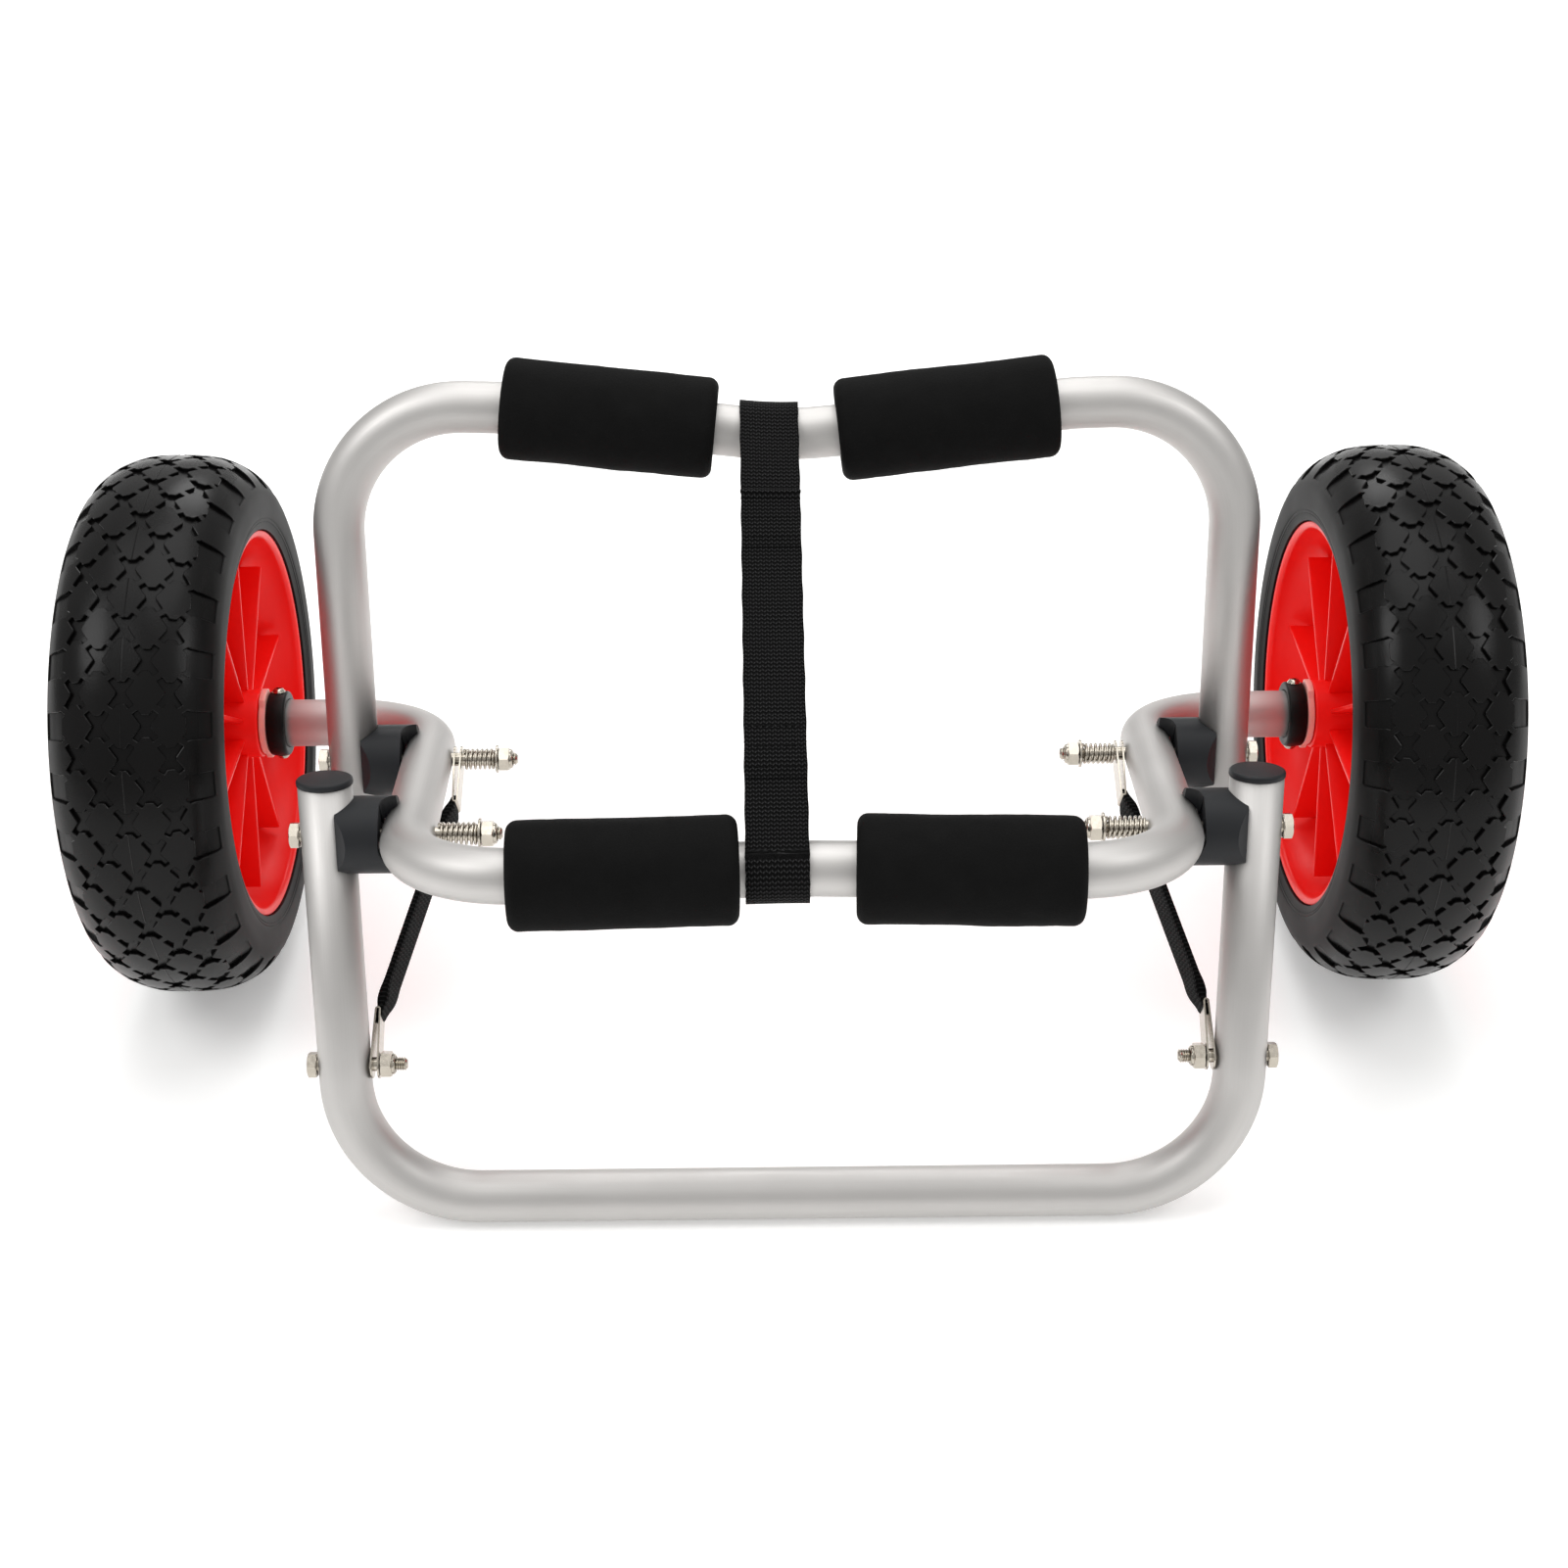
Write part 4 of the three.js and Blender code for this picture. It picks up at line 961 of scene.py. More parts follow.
# %% [markdown]
# ## Bolts, nuts, washers and springs
#
# M6 stainless hardware. A hexagon is a six-sided prism whose corners were turned off by a cone, so
# it is the common part of a prism and a chamfered disc. The thread is a thin V ring that is spun
# with a step along the axis, which makes a true helix. A spring is the same idea with a round wire.

# %% Hexagons and threads
HEX_FLATS = 10 * MM
HEX_CORNERS = HEX_FLATS / math.cos(math.pi / 6)
CHAMFER_SHARE, CHAMFER_SLOPE = 0.97, math.tan(math.radians(30))
CLEAR_OF_CORNERS = 1.02
BOLT_RADIUS = 3 * MM
THREAD_PITCH, THREAD_DEPTH, THREAD_WIDTH = 1 * MM, 0.55 * MM, 0.8 * MM
THREAD_ROOT, THREAD_CHAMFER = 0.05 * MM, 0.7 * MM
THREAD_STEPS, STUD_FACES = 24, 40


def hexagon(start, end, chamfer_start=True):
    """Hexagon prism along X whose corners are turned off at its end, and mostly at its start too."""
    edge_radius = HEX_FLATS / 2 * CHAMFER_SHARE
    drop = (HEX_CORNERS / 2 - edge_radius) * CHAMFER_SLOPE
    limit = HEX_CORNERS / 2 * CLEAR_OF_CORNERS
    first = edge_radius if chamfer_start else limit
    corners_off = [(start, first), (start + drop, limit), (end - drop, limit), (end, edge_radius)]
    disc = lathe([(start, 0), *corners_off, (end, 0)])
    return carve(bar(HEX_CORNERS / 2, (start, 0, 0), (end, 0, 0), 6), disc, "INTERSECT")


def thread(tip, length, core):
    """A threaded stud along X with its chamfered tip towards -X."""
    start = tip + length
    stud = [(start, 0), (start, core), (tip + THREAD_CHAMFER, core), (tip, core - THREAD_CHAMFER), (tip, 0)]
    bm = lathe(stud, STUD_FACES)
    turns = int((length - THREAD_CHAMFER) / THREAD_PITCH)
    root, crest = core - THREAD_ROOT, core + THREAD_DEPTH
    row = closed_row(bm, [(start - THREAD_WIDTH, root), (start - THREAD_WIDTH / 2, crest), (start, root)])
    start_cap = bm.faces.new(row[0])
    slide = (-THREAD_PITCH / THREAD_STEPS, 0, 0)
    verts, _ = spin_row(bm, row, ORIGIN, X_AXIS, math.tau * turns, turns * THREAD_STEPS, slide)
    bm.faces.new(verts)
    start_cap.normal_flip()
    return bm


def join(whole, *others):
    """Puts bmeshes in one, as separate shells."""
    for other in others:
        mesh = bpy.data.meshes.new("joining")
        other.to_mesh(mesh)
        other.free()
        whole.from_mesh(mesh)
        bpy.data.meshes.remove(mesh)
    return whole


print("A hexagon measures", round(HEX_CORNERS / MM, 2), "mm over its corners")

# %% Bolts
HEAD_HEIGHT = 4 * MM
WASHER_FACE, WASHER_FACE_RADIUS, WASHER_FACE_EDGE = 0.3 * MM, 0.94 * HEX_FLATS / 2, 0.1 * MM
THREAD_LENGTH = 12 * MM


def hex_bolt(name, node):
    """Hexagon bolt drawn with its head at +X, then set on its solid's place."""
    tip, head_end = span(node)
    seat = head_end - HEAD_HEIGHT
    top = seat + WASHER_FACE
    inside = top + WASHER_FACE
    smooth = tip + THREAD_LENGTH
    rim = WASHER_FACE_RADIUS
    face = [(seat, 0), (seat, rim, WASHER_FACE_EDGE), (inside, rim), (inside, 0)]
    shank = [(smooth, 0), (smooth, BOLT_RADIUS), (top, BOLT_RADIUS), (top, 0)]
    stud = thread(tip, THREAD_LENGTH, BOLT_RADIUS - THREAD_DEPTH)
    bm = join(hexagon(top, head_end, False), lathe(face), lathe(shank), stud)
    set_in_place(name, node, bm, line_of(node), steel)


for word in SIDES:
    hex_bolt(f"rear_{word}_hex_bolt", f"rear_{word}_pivot_bolt")
    hex_bolt(f"front_{word}_hex_bolt", f"front_{word}_pivot_bolt")
    hex_bolt(f"{word}_strap_hex_bolt", f"{word}_strap_bolt")
print("Six bolts with", round(THREAD_PITCH / MM, 1), "mm thread pitch")

# %% Locking nuts and washers
NUT_COLLAR, NUT_COLLAR_RADIUS, NUT_LIP_RADIUS = 1.4 * MM, 4.55 * MM, 4.3 * MM
NUT_INSERT, INSERT_DEPTH = 3.3 * MM, 0.5 * MM
WASHER_RIM, WASHER_BORE, WASHER_EDGE = 6.3 * MM, 3.3 * MM, 0.2 * MM


def lock_nut(name, node):
    """Hexagon with a rounded collar, which holds a nylon ring, towards the middle of the cart."""
    inner, outer = span(node)
    collar = [
        (inner + NUT_COLLAR * 2, 0),
        (inner + NUT_COLLAR * 2, NUT_COLLAR_RADIUS),
        (inner, NUT_LIP_RADIUS, 1 * MM),
        (inner, NUT_INSERT + 0.2 * MM, 0.15 * MM),
        (inner + INSERT_DEPTH, NUT_INSERT),
        (inner + INSERT_DEPTH, 0),
    ]
    bm = join(hexagon(inner + NUT_COLLAR, outer), lathe(collar))
    set_in_place(name, node, bm, line_of(node), steel)


def flat_washer(name, node):
    corners = sleeve(*span(node), WASHER_BORE, WASHER_RIM, WASHER_EDGE)
    set_in_place(name, node, lathe(corners), line_of(node), steel)


for word in SIDES:
    lock_nut(f"rear_{word}_hex_nut", f"rear_{word}_lock_nut")
    lock_nut(f"front_{word}_hex_nut", f"front_{word}_lock_nut")
    lock_nut(f"{word}_strap_hex_nut", f"{word}_strap_nut")
    flat_washer(f"rear_{word}_flat_washer", f"rear_{word}_spring_washer")
    flat_washer(f"front_{word}_flat_washer", f"front_{word}_spring_washer")
print("Six locking nuts and four washers")

# %% Springs
SPRING_WIRE = 0.62 * MM
SPRING_COIL = 4.2 * MM
WIRE_FACES = 12
STEPS_PER_CURL = 28
CLOSED_SHARE = 0.62


def coil_spring(place, curls):
    """Round wire spun with a step along the axis; the end curls are wound closer."""
    node = f"{place}_spring"
    inner, outer = span(node)
    pitch = (outer - inner - 2 * SPRING_WIRE) / (curls - 2 * (1 - CLOSED_SHARE))
    bm = bmesh.new()
    start = Matrix.Translation((outer - SPRING_WIRE, 0, SPRING_COIL)) @ Matrix.Rotation(math.pi / 2, 4, "X")
    bmesh.ops.create_circle(bm, cap_ends=True, segments=WIRE_FACES, radius=SPRING_WIRE, matrix=start)
    row = (bm.verts[:], bm.edges[:])
    for turns, share in ((1, CLOSED_SHARE), (curls - 2, 1), (1, CLOSED_SHARE)):
        slide = (-pitch * share / STEPS_PER_CURL, 0, 0)
        row = spin_row(bm, row, ORIGIN, X_AXIS, math.tau * turns, turns * STEPS_PER_CURL, slide)
    bmesh.ops.holes_fill(bm, edges=row[1], sides=0)
    set_in_place(f"{place}_coil", node, bm, line_of(node), steel)


for word in SIDES:
    coil_spring(f"rear_{word}", 7)
    coil_spring(f"front_{word}", 8)
print("Springs of", round(2 * SPRING_WIRE / MM, 2), "mm wire")

# %% [markdown]
# ## Folded strap links
#
# A link is a steel strip folded in two. Both ends have their place on the bolt, and the fold holds
# the strap. The strip is drawn as one row of vertices across its width: along the first plate,
# which runs in a little towards the other, spun half a turn for the fold, and back. Its end rows
# are pushed into half circles round the bolt, and Solidify gives the sheet its thickness.

# %% Strap links
strap_line = strap_bolt - rear_pivot
strap_length = strap_line.length
strap_way = strap_line.normalized()
strap_axes = Matrix((strap_way, strap_way.cross(ACROSS), ACROSS)).transposed().to_4x4()
LINK_HALF_WIDTH, LINK_COLUMNS = 6 * MM, 8
LINK_PLATE, LINK_EDGE = 0.8 * MM, 0.12 * MM
LINK_REACH = 24 * MM
LINK_FOLD_SHARE = 0.6
FOLD_STEPS = 12


def lay_on_strap(bm, x):
    """Moves a shape drawn with the strap's run along X, its width along Y and thickness along Z."""
    bmesh.ops.transform(bm, matrix=Matrix.Translation(rear_pivot + ACROSS * x) @ strap_axes, verts=bm.verts)


def strap_link(place, bolt_run, towards):
    node = f"{place}_strap_link"
    low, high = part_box(node)
    half_gap = (high.x - low.x) / 2 - LINK_PLATE / 2
    fold_gap = half_gap * LINK_FOLD_SHARE
    fold_run = bolt_run + towards * (LINK_REACH - fold_gap - LINK_PLATE / 2)
    bm = bmesh.new()
    widths = [LINK_HALF_WIDTH * column / LINK_COLUMNS for column in range(-LINK_COLUMNS, LINK_COLUMNS + 1)]
    first_row = [bm.verts.new((bolt_run, width, half_gap)) for width in widths]
    edges = [bm.edges.new(pair) for pair in zip(first_row, first_row[1:])]
    row = extrude_row(bm, edges, (fold_run - bolt_run, 0, fold_gap - half_gap))
    row = spin_row(bm, row, (fold_run, 0, 0), (0, towards, 0), math.pi, FOLD_STEPS)
    last_row, _ = extrude_row(bm, row[1], (bolt_run - fold_run, 0, fold_gap - half_gap))
    for end_row in (first_row, last_row):
        edges = [edge for edge in bm.edges if set(end_row).issuperset(edge.verts)]
        for vert in extrude_row(bm, edges)[0]:
            vert.co.x -= towards * math.sqrt(max(0, LINK_HALF_WIDTH**2 - vert.co.y**2))
    bmesh.ops.remove_doubles(bm, verts=bm.verts, dist=MERGE)
    bmesh.ops.recalc_face_normals(bm, faces=bm.faces)
    lay_on_strap(bm, middle(node).x)
    made = dressed(f"{place}_folded_link", node, bm, steel, outwards=False)
    bevel_edges(thicken(made, "plate", LINK_PLATE, 0), LINK_EDGE, angle=50)


for word in SIDES:
    strap_link(f"{word}_upper", 0, 1)
    strap_link(f"{word}_lower", strap_length, -1)
print("Limit straps run", round(strap_length / MM, 1), "mm from bolt to bolt")

# %% [markdown]
# ## Limit straps
#
# Two plies of 16 mm webbing, sewn together, stop the kickstand at its open position. The band is
# drawn flat: a row of vertices round its section is extruded step by step along the run. Towards
# each link a row is drawn in across and swells just before the link, and inside the link it is
# thin. Its edges get the small teeth that a woven edge has.

# %% Limit straps
STRAP_HALF_WIDTH, STRAP_HALF_THICKNESS = 8 * MM, 1.7 * MM
STRAP_ROWS, SECTION_QUARTER = 84, 10
SECTION_SIDES, SECTION_FACES = 0.30, 0.55
TOOTH_PITCH, TOOTH_DEPTH = 2.6 * MM, 0.35 * MM
IN_LINK, BUNCH_LENGTH = 5 * MM, 9 * MM
NECK_SHARE = 0.66
THIN_SHARE, SWELL_RISE, SWELL_FALL = 0.85, 0.65, 0.5
FULL_WIDTH = (1 * MM, 1.6 * BUNCH_LENGTH)
SWELLS, SETTLES = (3 * MM, BUNCH_LENGTH), (BUNCH_LENGTH, 2 * BUNCH_LENGTH)
TIP_CLOSES = (-1.6 * MM, 2.2 * MM)
STRAP_TWIST = math.radians(8)


def flattened(value, power):
    """Pushes a sine or cosine towards 1 or -1, which squares a round section."""
    return math.copysign(abs(value) ** power, value)


def band_section(bm):
    """Row of vertices round a flat band's section, in the YZ plane, with round edges."""
    upright = Matrix.Rotation(math.pi / 2, 4, "Y")
    bmesh.ops.create_circle(bm, segments=4 * SECTION_QUARTER, radius=1, matrix=upright)
    for vert in bm.verts:
        angle = math.atan2(vert.co.z, vert.co.y)
        vert.co.y = flattened(math.cos(angle), SECTION_SIDES)
        vert.co.z = flattened(math.sin(angle), SECTION_FACES)
    return bm.verts[:], bm.edges[:]


def smooth_step(value, low, high):
    share = min(1, max(0, (value - low) / (high - low)))
    return share * share * (3 - 2 * share)


def limit_strap(word):
    side = side_of(f"{word}_limit_strap")
    upper_x, lower_x = (middle(f"{word}_{end}_strap_link").x for end in ("upper", "lower"))
    start = LINK_REACH - IN_LINK
    end = strap_length - LINK_REACH + IN_LINK
    bm = bmesh.new()
    weave = bm.verts.layers.float_vector.new("weave")
    row, edges = band_section(bm)
    rows = [row]
    for _ in range(STRAP_ROWS):
        row, edges = extrude_row(bm, edges)
        rows.append(row)
    for number, row in enumerate(rows):
        share = number / STRAP_ROWS
        run = start + (end - start) * share
        near_end = min(run - start, end - run)
        full = smooth_step(near_end, *FULL_WIDTH)
        swell = SWELL_RISE * smooth_step(near_end, *SWELLS) - SWELL_FALL * smooth_step(near_end, *SETTLES)
        tip = smooth_step(near_end, *TIP_CLOSES)
        half_width = STRAP_HALF_WIDTH * (NECK_SHARE + (1 - NECK_SHARE) * full) * tip
        half_thick = STRAP_HALF_THICKNESS * (THIN_SHARE + swell) * tip
        tooth = TOOTH_DEPTH * abs(math.sin(math.pi * run / TOOTH_PITCH)) * full
        across_shift = side * (abs(lower_x) - abs(upper_x)) * share
        twist = Matrix.Rotation(side * STRAP_TWIST * full, 3, "X")
        for vert in row:
            y, z = vert.co.y, vert.co.z
            vert[weave] = (y * STRAP_HALF_WIDTH, run, z * STRAP_HALF_THICKNESS)
            vert.co = twist @ Vector((run, y * (half_width - tooth * abs(y) ** 6), z * half_thick))
            vert.co.z += across_shift
    bmesh.ops.holes_fill(bm, edges=open_edges(bm), sides=0)
    lay_on_strap(bm, upper_x)
    made = to_object(f"{word}_limit_webbing", bm, webbing)
    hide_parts(f"{word}_limit_strap")
    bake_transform(made)


for word in SIDES:
    limit_strap(word)
print("Limit straps of", round(2 * STRAP_HALF_WIDTH / MM), "mm webbing")

# %% [markdown]
# ## Centre strap
#
# One closed loop of 25 mm webbing runs round the middle of both crossbars. It is a row of vertices
# across the band that is extruded along the top run, spun half a turn round the upper bar,
# extruded back underneath and spun round the front bar, where it meets its own start. Two more
# short plies lie on the top run, where the loop's ends overlap and are sewn.

# %% Centre strap
LOOP_WIDTH, LOOP_PLY = 25.4 * MM, 1.8 * MM
LOOP_MIDDLE = -7 * MM
LOOP_RADIUS = TUBE_RADIUS + 0.75 * MM
LOOP_COLUMNS = 16
RUN_STEPS, TURN_STEPS = 90, 20
LOOP_LEAN = 0.7 * MM
LOOP_TOOTH_DEPTH = 0.3 * MM
CLOSING_GAP = 0.6 * MM
AT_BAR = (0.7, 0.97)


def bend_lift(x, dip, half_span):
    """How far a V-shaped bar runs over its corner: an arc in the middle, straight beside it."""
    slope = math.atan2(dip, half_span)
    if abs(x) < DIP_BEND * math.sin(slope):
        return DIP_BEND / math.cos(slope) - math.sqrt(DIP_BEND**2 - x**2)
    return abs(x) * math.tan(slope)


UPPER_V = (UPPER_BAR_DIP, DIP_START)
FRONT_V = (FRONT_BAR_DIP, arm_x(FRONT_BAR_REACH))
loop_top = leaning(LOOP_MIDDLE, rear_reach, UPPER_BAR_RISE - UPPER_BAR_DIP + bend_lift(0, *UPPER_V))
loop_front = leaning(LOOP_MIDDLE, FRONT_BAR_REACH - FRONT_BAR_DIP + bend_lift(0, *FRONT_V), 0)
loop_run = loop_top - loop_front
loop_way = loop_run.normalized()
loop_out = loop_run.cross(ACROSS).normalized()
if loop_out.z < 0:
    loop_out = -loop_out


def loop_place(run, out):
    """Point on the strap's middle line: a distance up from the front bar and outwards."""
    return loop_front + loop_way * run + loop_out * out


def band_row(bm, point, width):
    """Row of vertices across the strap, joined by edges."""
    shares = [column / LOOP_COLUMNS - 0.5 for column in range(LOOP_COLUMNS + 1)]
    row = [bm.verts.new(point + ACROSS * width * share) for share in shares]
    return row, [bm.edges.new(pair) for pair in zip(row, row[1:])]


def weave_rows(rows, weave):
    """Writes each row's place along the band and bites small teeth into the woven edges."""
    travelled = 0
    before = rows[0][0].co.copy()
    for row in rows:
        travelled += (row[0].co - before).length
        before = row[0].co.copy()
        for vert in row:
            across = vert.co.x - LOOP_MIDDLE
            vert[weave] = (across, travelled, 0)
            edge_share = (abs(across) / (LOOP_WIDTH / 2)) ** 8
            tooth = LOOP_TOOTH_DEPTH * abs(math.sin(math.pi * travelled / TOOTH_PITCH))
            vert.co.x -= math.copysign(tooth * edge_share, across)


def lean_strap(bm):
    """Pulled tight, the loop follows the V of each bar and leans a little to the left at the top."""
    for vert in bm.verts:
        share = (vert.co - loop_front).dot(loop_way) / loop_run.length
        vert.co.x += LOOP_LEAN * (1 - 2 * share)
        x = vert.co.x
        for way, at_bar, v in ((upward, share, UPPER_V), (forward, 1 - share, FRONT_V)):
            vert.co += way * smooth_step(at_bar, *AT_BAR) * (bend_lift(x, *v) - bend_lift(0, *v))


bm = bmesh.new()
weave = bm.verts.layers.float_vector.new("weave")
ring = band_row(bm, loop_place(0, LOOP_RADIUS), LOOP_WIDTH)
loop_rows = [ring[0]]
turn_axis = -loop_run.cross(loop_out).normalized()
for way, bar_centre in ((1, loop_top), (-1, loop_front)):
    for _ in range(RUN_STEPS):
        ring = extrude_row(bm, ring[1], way * loop_run / RUN_STEPS)
        loop_rows.append(ring[0])
    for _ in range(TURN_STEPS):
        ring = spin_row(bm, ring, bar_centre, turn_axis, math.pi / TURN_STEPS)
        loop_rows.append(ring[0])
weave_rows(loop_rows[:-1], weave)
bmesh.ops.remove_doubles(bm, verts=bm.verts, dist=CLOSING_GAP)
lean_strap(bm)
face_away(bm, loop_front)
centre_loop = thicken(to_object("centre_webbing_loop", bm, webbing, outwards=False), "ply", LOOP_PLY, 1)
print("The centre strap is a loop of", round(2 * (loop_run.length + math.pi * LOOP_RADIUS) / MM), "mm")

# %% Sewn overlaps of the centre strap
OVERLAP_PLY, OVERLAP_WIDTH, OVERLAP_EDGE = 1.2 * MM, 0.985 * LOOP_WIDTH, 0.3 * MM
OVERLAP_STEPS = 36
OVERLAPS = {"upper_sewn_overlap": (140 * MM, 168 * MM), "lower_sewn_overlap": (33 * MM, 60 * MM)}
STITCH_RADIUS, STITCH_LENGTH, STITCH_STEP, STITCHES = 0.32 * MM, 2.0 * MM, 2.9 * MM, 8
SEAM_MARGIN = 4.5 * MM
HEM_RUN, HEM_HALF_WIDTH, HEM_HEIGHT, HEM_OVERHANG = 166 * MM, 1.5 * MM, 1.5 * MM, 0.5 * MM
SEWN_FLAT, SEWN_SHARE = 8 * MM, 0.4


def hem_share(run):
    """The rolled hem at the upper overlap's upper end."""
    return math.exp(-(((run - HEM_RUN) / HEM_HALF_WIDTH) ** 2))


def overlap_height(run, run_start):
    """The ply starts thin, where it was sewn down flat, and reaches its thickness higher up."""
    share = SEWN_SHARE + (1 - SEWN_SHARE) * smooth_step(run, run_start, run_start + SEWN_FLAT)
    return OVERLAP_PLY * share + HEM_HEIGHT * hem_share(run)


def stitch(bm, point):
    """One thread loop pulled into the webbing across the strap: a small stretched ball."""
    shape = Matrix.Diagonal((STITCH_LENGTH / 2, STITCH_RADIUS, STITCH_RADIUS, 1))
    turn = ACROSS.to_track_quat("X", "Z").to_matrix().to_4x4()
    place = Matrix.Translation(point) @ turn @ shape
    bmesh.ops.create_uvsphere(bm, u_segments=8, v_segments=5, radius=1, matrix=place)


def sewn_overlap(name, run_start, run_end):
    height = LOOP_RADIUS + LOOP_PLY
    bm = bmesh.new()
    weave = bm.verts.layers.float_vector.new("weave")
    row, edges = band_row(bm, loop_place(run_start, height), OVERLAP_WIDTH)
    rows = [row]
    for _ in range(OVERLAP_STEPS):
        row, edges = extrude_row(bm, edges, loop_way * (run_end - run_start) / OVERLAP_STEPS)
        rows.append(row)
    weave_rows(rows, weave)
    for vert in extrude_faces(bm, bm.faces[:]):
        run = (vert.co - loop_front).dot(loop_way)
        across_share = (vert.co.x - LOOP_MIDDLE) / (LOOP_WIDTH / 2)
        vert.co += loop_out * overlap_height(run, run_start)
        vert.co.x += HEM_OVERHANG * hem_share(run) * across_share**9
    for run in (run_start + SEAM_MARGIN, (run_start + run_end) / 2, run_end - SEAM_MARGIN):
        for number in range(STITCHES):
            across = ACROSS * (STITCH_STEP * (number - (STITCHES - 1) / 2))
            stitch(bm, loop_place(run, height + overlap_height(run, run_start)) + across)
    lean_strap(bm)
    return bevel_edges(to_object(name, bm, webbing), OVERLAP_EDGE, angle=60)


overlaps = [sewn_overlap(name, *ends) for name, ends in OVERLAPS.items()]
for piece in [centre_loop, *overlaps]:
    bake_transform(piece)
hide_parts("centre_strap")
print("Sewn overlaps:", list(OVERLAPS))

# %% [markdown]
# ## What sits on the axle
#
# Outwards from each arm come a black collar with its clamp screw, a pale nylon washer with two
# lugs, the wheel with its nylon bush, a second washer, a steel pin and a plug in the tube's end.

# %% Collars and their screws
COLLAR_RADIUS, COLLAR_DROP = 15.5 * MM, 0.25 * MM
SCREW_HEAD, SCREW_DOME, SCREW_SHANK, SCREW_SOCKET = 3.5 * MM, 1.9 * MM, 2 * MM, 1.25 * MM
COLLAR_FACES, SCREW_FACES = 96, 48


def axle_collar(word):
    node = f"{word}_axle_collar"
    inner, outer = span(node)
    corners = [
        (inner, BORE, 0.5 * MM),
        (outer, BORE, 0.3 * MM),
        (outer, COLLAR_RADIUS - COLLAR_DROP, 0.9 * MM),
        ((outer + inner) / 2, COLLAR_RADIUS),
        (inner, COLLAR_RADIUS - COLLAR_DROP, 1.1 * MM),
    ]
    set_in_place(f"{word}_turned_collar", node, lathe(corners, COLLAR_FACES), line_of(node), black_plastic)


def set_upright(name, node, bm):
    """A steel pin drawn along X, stood up through the axle."""
    dressed(name, node, stand_on(bm, axle + ACROSS * middle(node).x, upward), steel)


def collar_screw(word):
    """Through screw with low domed heads, the upper one with a hexagon socket."""
    seat = COLLAR_RADIUS - 0.2 * MM
    top = seat + SCREW_DOME
    upper = [
        (seat, SCREW_SHANK),
        (seat, SCREW_HEAD, 0.2 * MM),
        (top, SCREW_HEAD * 0.55, 0.9 * MM),
        (top, 0),
    ]
    lower = [(-x, *rest) for x, *rest in reversed(upper)]
    socket = bar(SCREW_SOCKET, (seat + SCREW_DOME * 0.35, 0, 0), (seat + 3 * SCREW_DOME, 0, 0), 6)
    bm = carve(lathe(lower + upper, SCREW_FACES), socket)
    set_upright(f"{word}_domed_screw", f"{word}_collar_screw", bm)


for word in SIDES:
    axle_collar(word)
    collar_screw(word)
print("Collars of", round(2 * COLLAR_RADIUS / MM), "mm")

# %% Washers, bushes, pins and plugs
HUB_WASHER_RADIUS, LUG_RADIUS = 14.6 * MM, 17 * MM
LUG_FADE = (math.radians(-28.8), math.radians(-16.8))
HUB_RING_FACES = 96
HUB_CREEP = 1.4 * MM
BUSH_RADIUS = TUBE_RADIUS + 1.5 * MM
PIN_HEAD, PIN_DOME, PIN_SHANK, PIN_TAIL, PIN_HOLE = 4.5 * MM, 2 * MM, 2.5 * MM, 4 * MM, 0.7 * MM
AXLE_PLUG_DEPTH, AXLE_PLUG_DISC = 1.5 * MM, 1.8 * MM


def hub_washer(word, place):
    """Nylon ring with a rounded lug above and one below the axle."""
    node = f"{word}_{place}_hub_washer"
    inner, outer = span(node)
    if place == "inner":
        outer -= HUB_CREEP
    corners = [
        (inner, BORE, 0.2 * MM),
        (outer, BORE, 0.2 * MM),
        (outer, HUB_WASHER_RADIUS, 0.5 * MM),
        (inner, HUB_WASHER_RADIUS, 0.5 * MM),
    ]
    bm = lathe(corners, HUB_RING_FACES)
    for vert in bm.verts:
        radius = math.hypot(vert.co.y, vert.co.z)
        from_lug = abs(math.atan2(vert.co.y, abs(vert.co.z)))
        swell = smooth_step(-from_lug, *LUG_FADE)
        share = (radius - BORE) / (HUB_WASHER_RADIUS - BORE)
        vert.co.yz *= 1 + share * swell * (LUG_RADIUS / HUB_WASHER_RADIUS - 1)
    set_in_place(f"{word}_{place}_nylon_washer", node, bm, axle, nylon)


def hub_bush(word):
    node = f"{word}_hub_bush"
    bm = lathe(sleeve(*span(node), BORE, BUSH_RADIUS, 0.3 * MM))
    set_in_place(f"{word}_nylon_bush", node, bm, axle, nylon)


def wheel_pin(word):
    """Steel pin through the axle's end: domed head above, chamfered tail with a cross hole below."""
    seat = BORE
    tail_end = -seat - PIN_TAIL
    corners = [
        (tail_end, 0),
        (tail_end, PIN_SHANK, 0.9 * MM),
        (seat, PIN_SHANK),
        (seat, PIN_HEAD, 0.3 * MM),
        (seat + PIN_DOME, PIN_HEAD * 0.7, 1 * MM),
        (seat + PIN_DOME, 0),
    ]
    hole_at = tail_end + PIN_TAIL / 2
    hole = bar(PIN_HOLE, (hole_at, 0, -2 * PIN_SHANK), (hole_at, 0, 2 * PIN_SHANK), 16)
    bm = carve(lathe(corners, SCREW_FACES), hole)
    set_upright(f"{word}_clevis_pin", f"{word}_wheel_pin", bm)


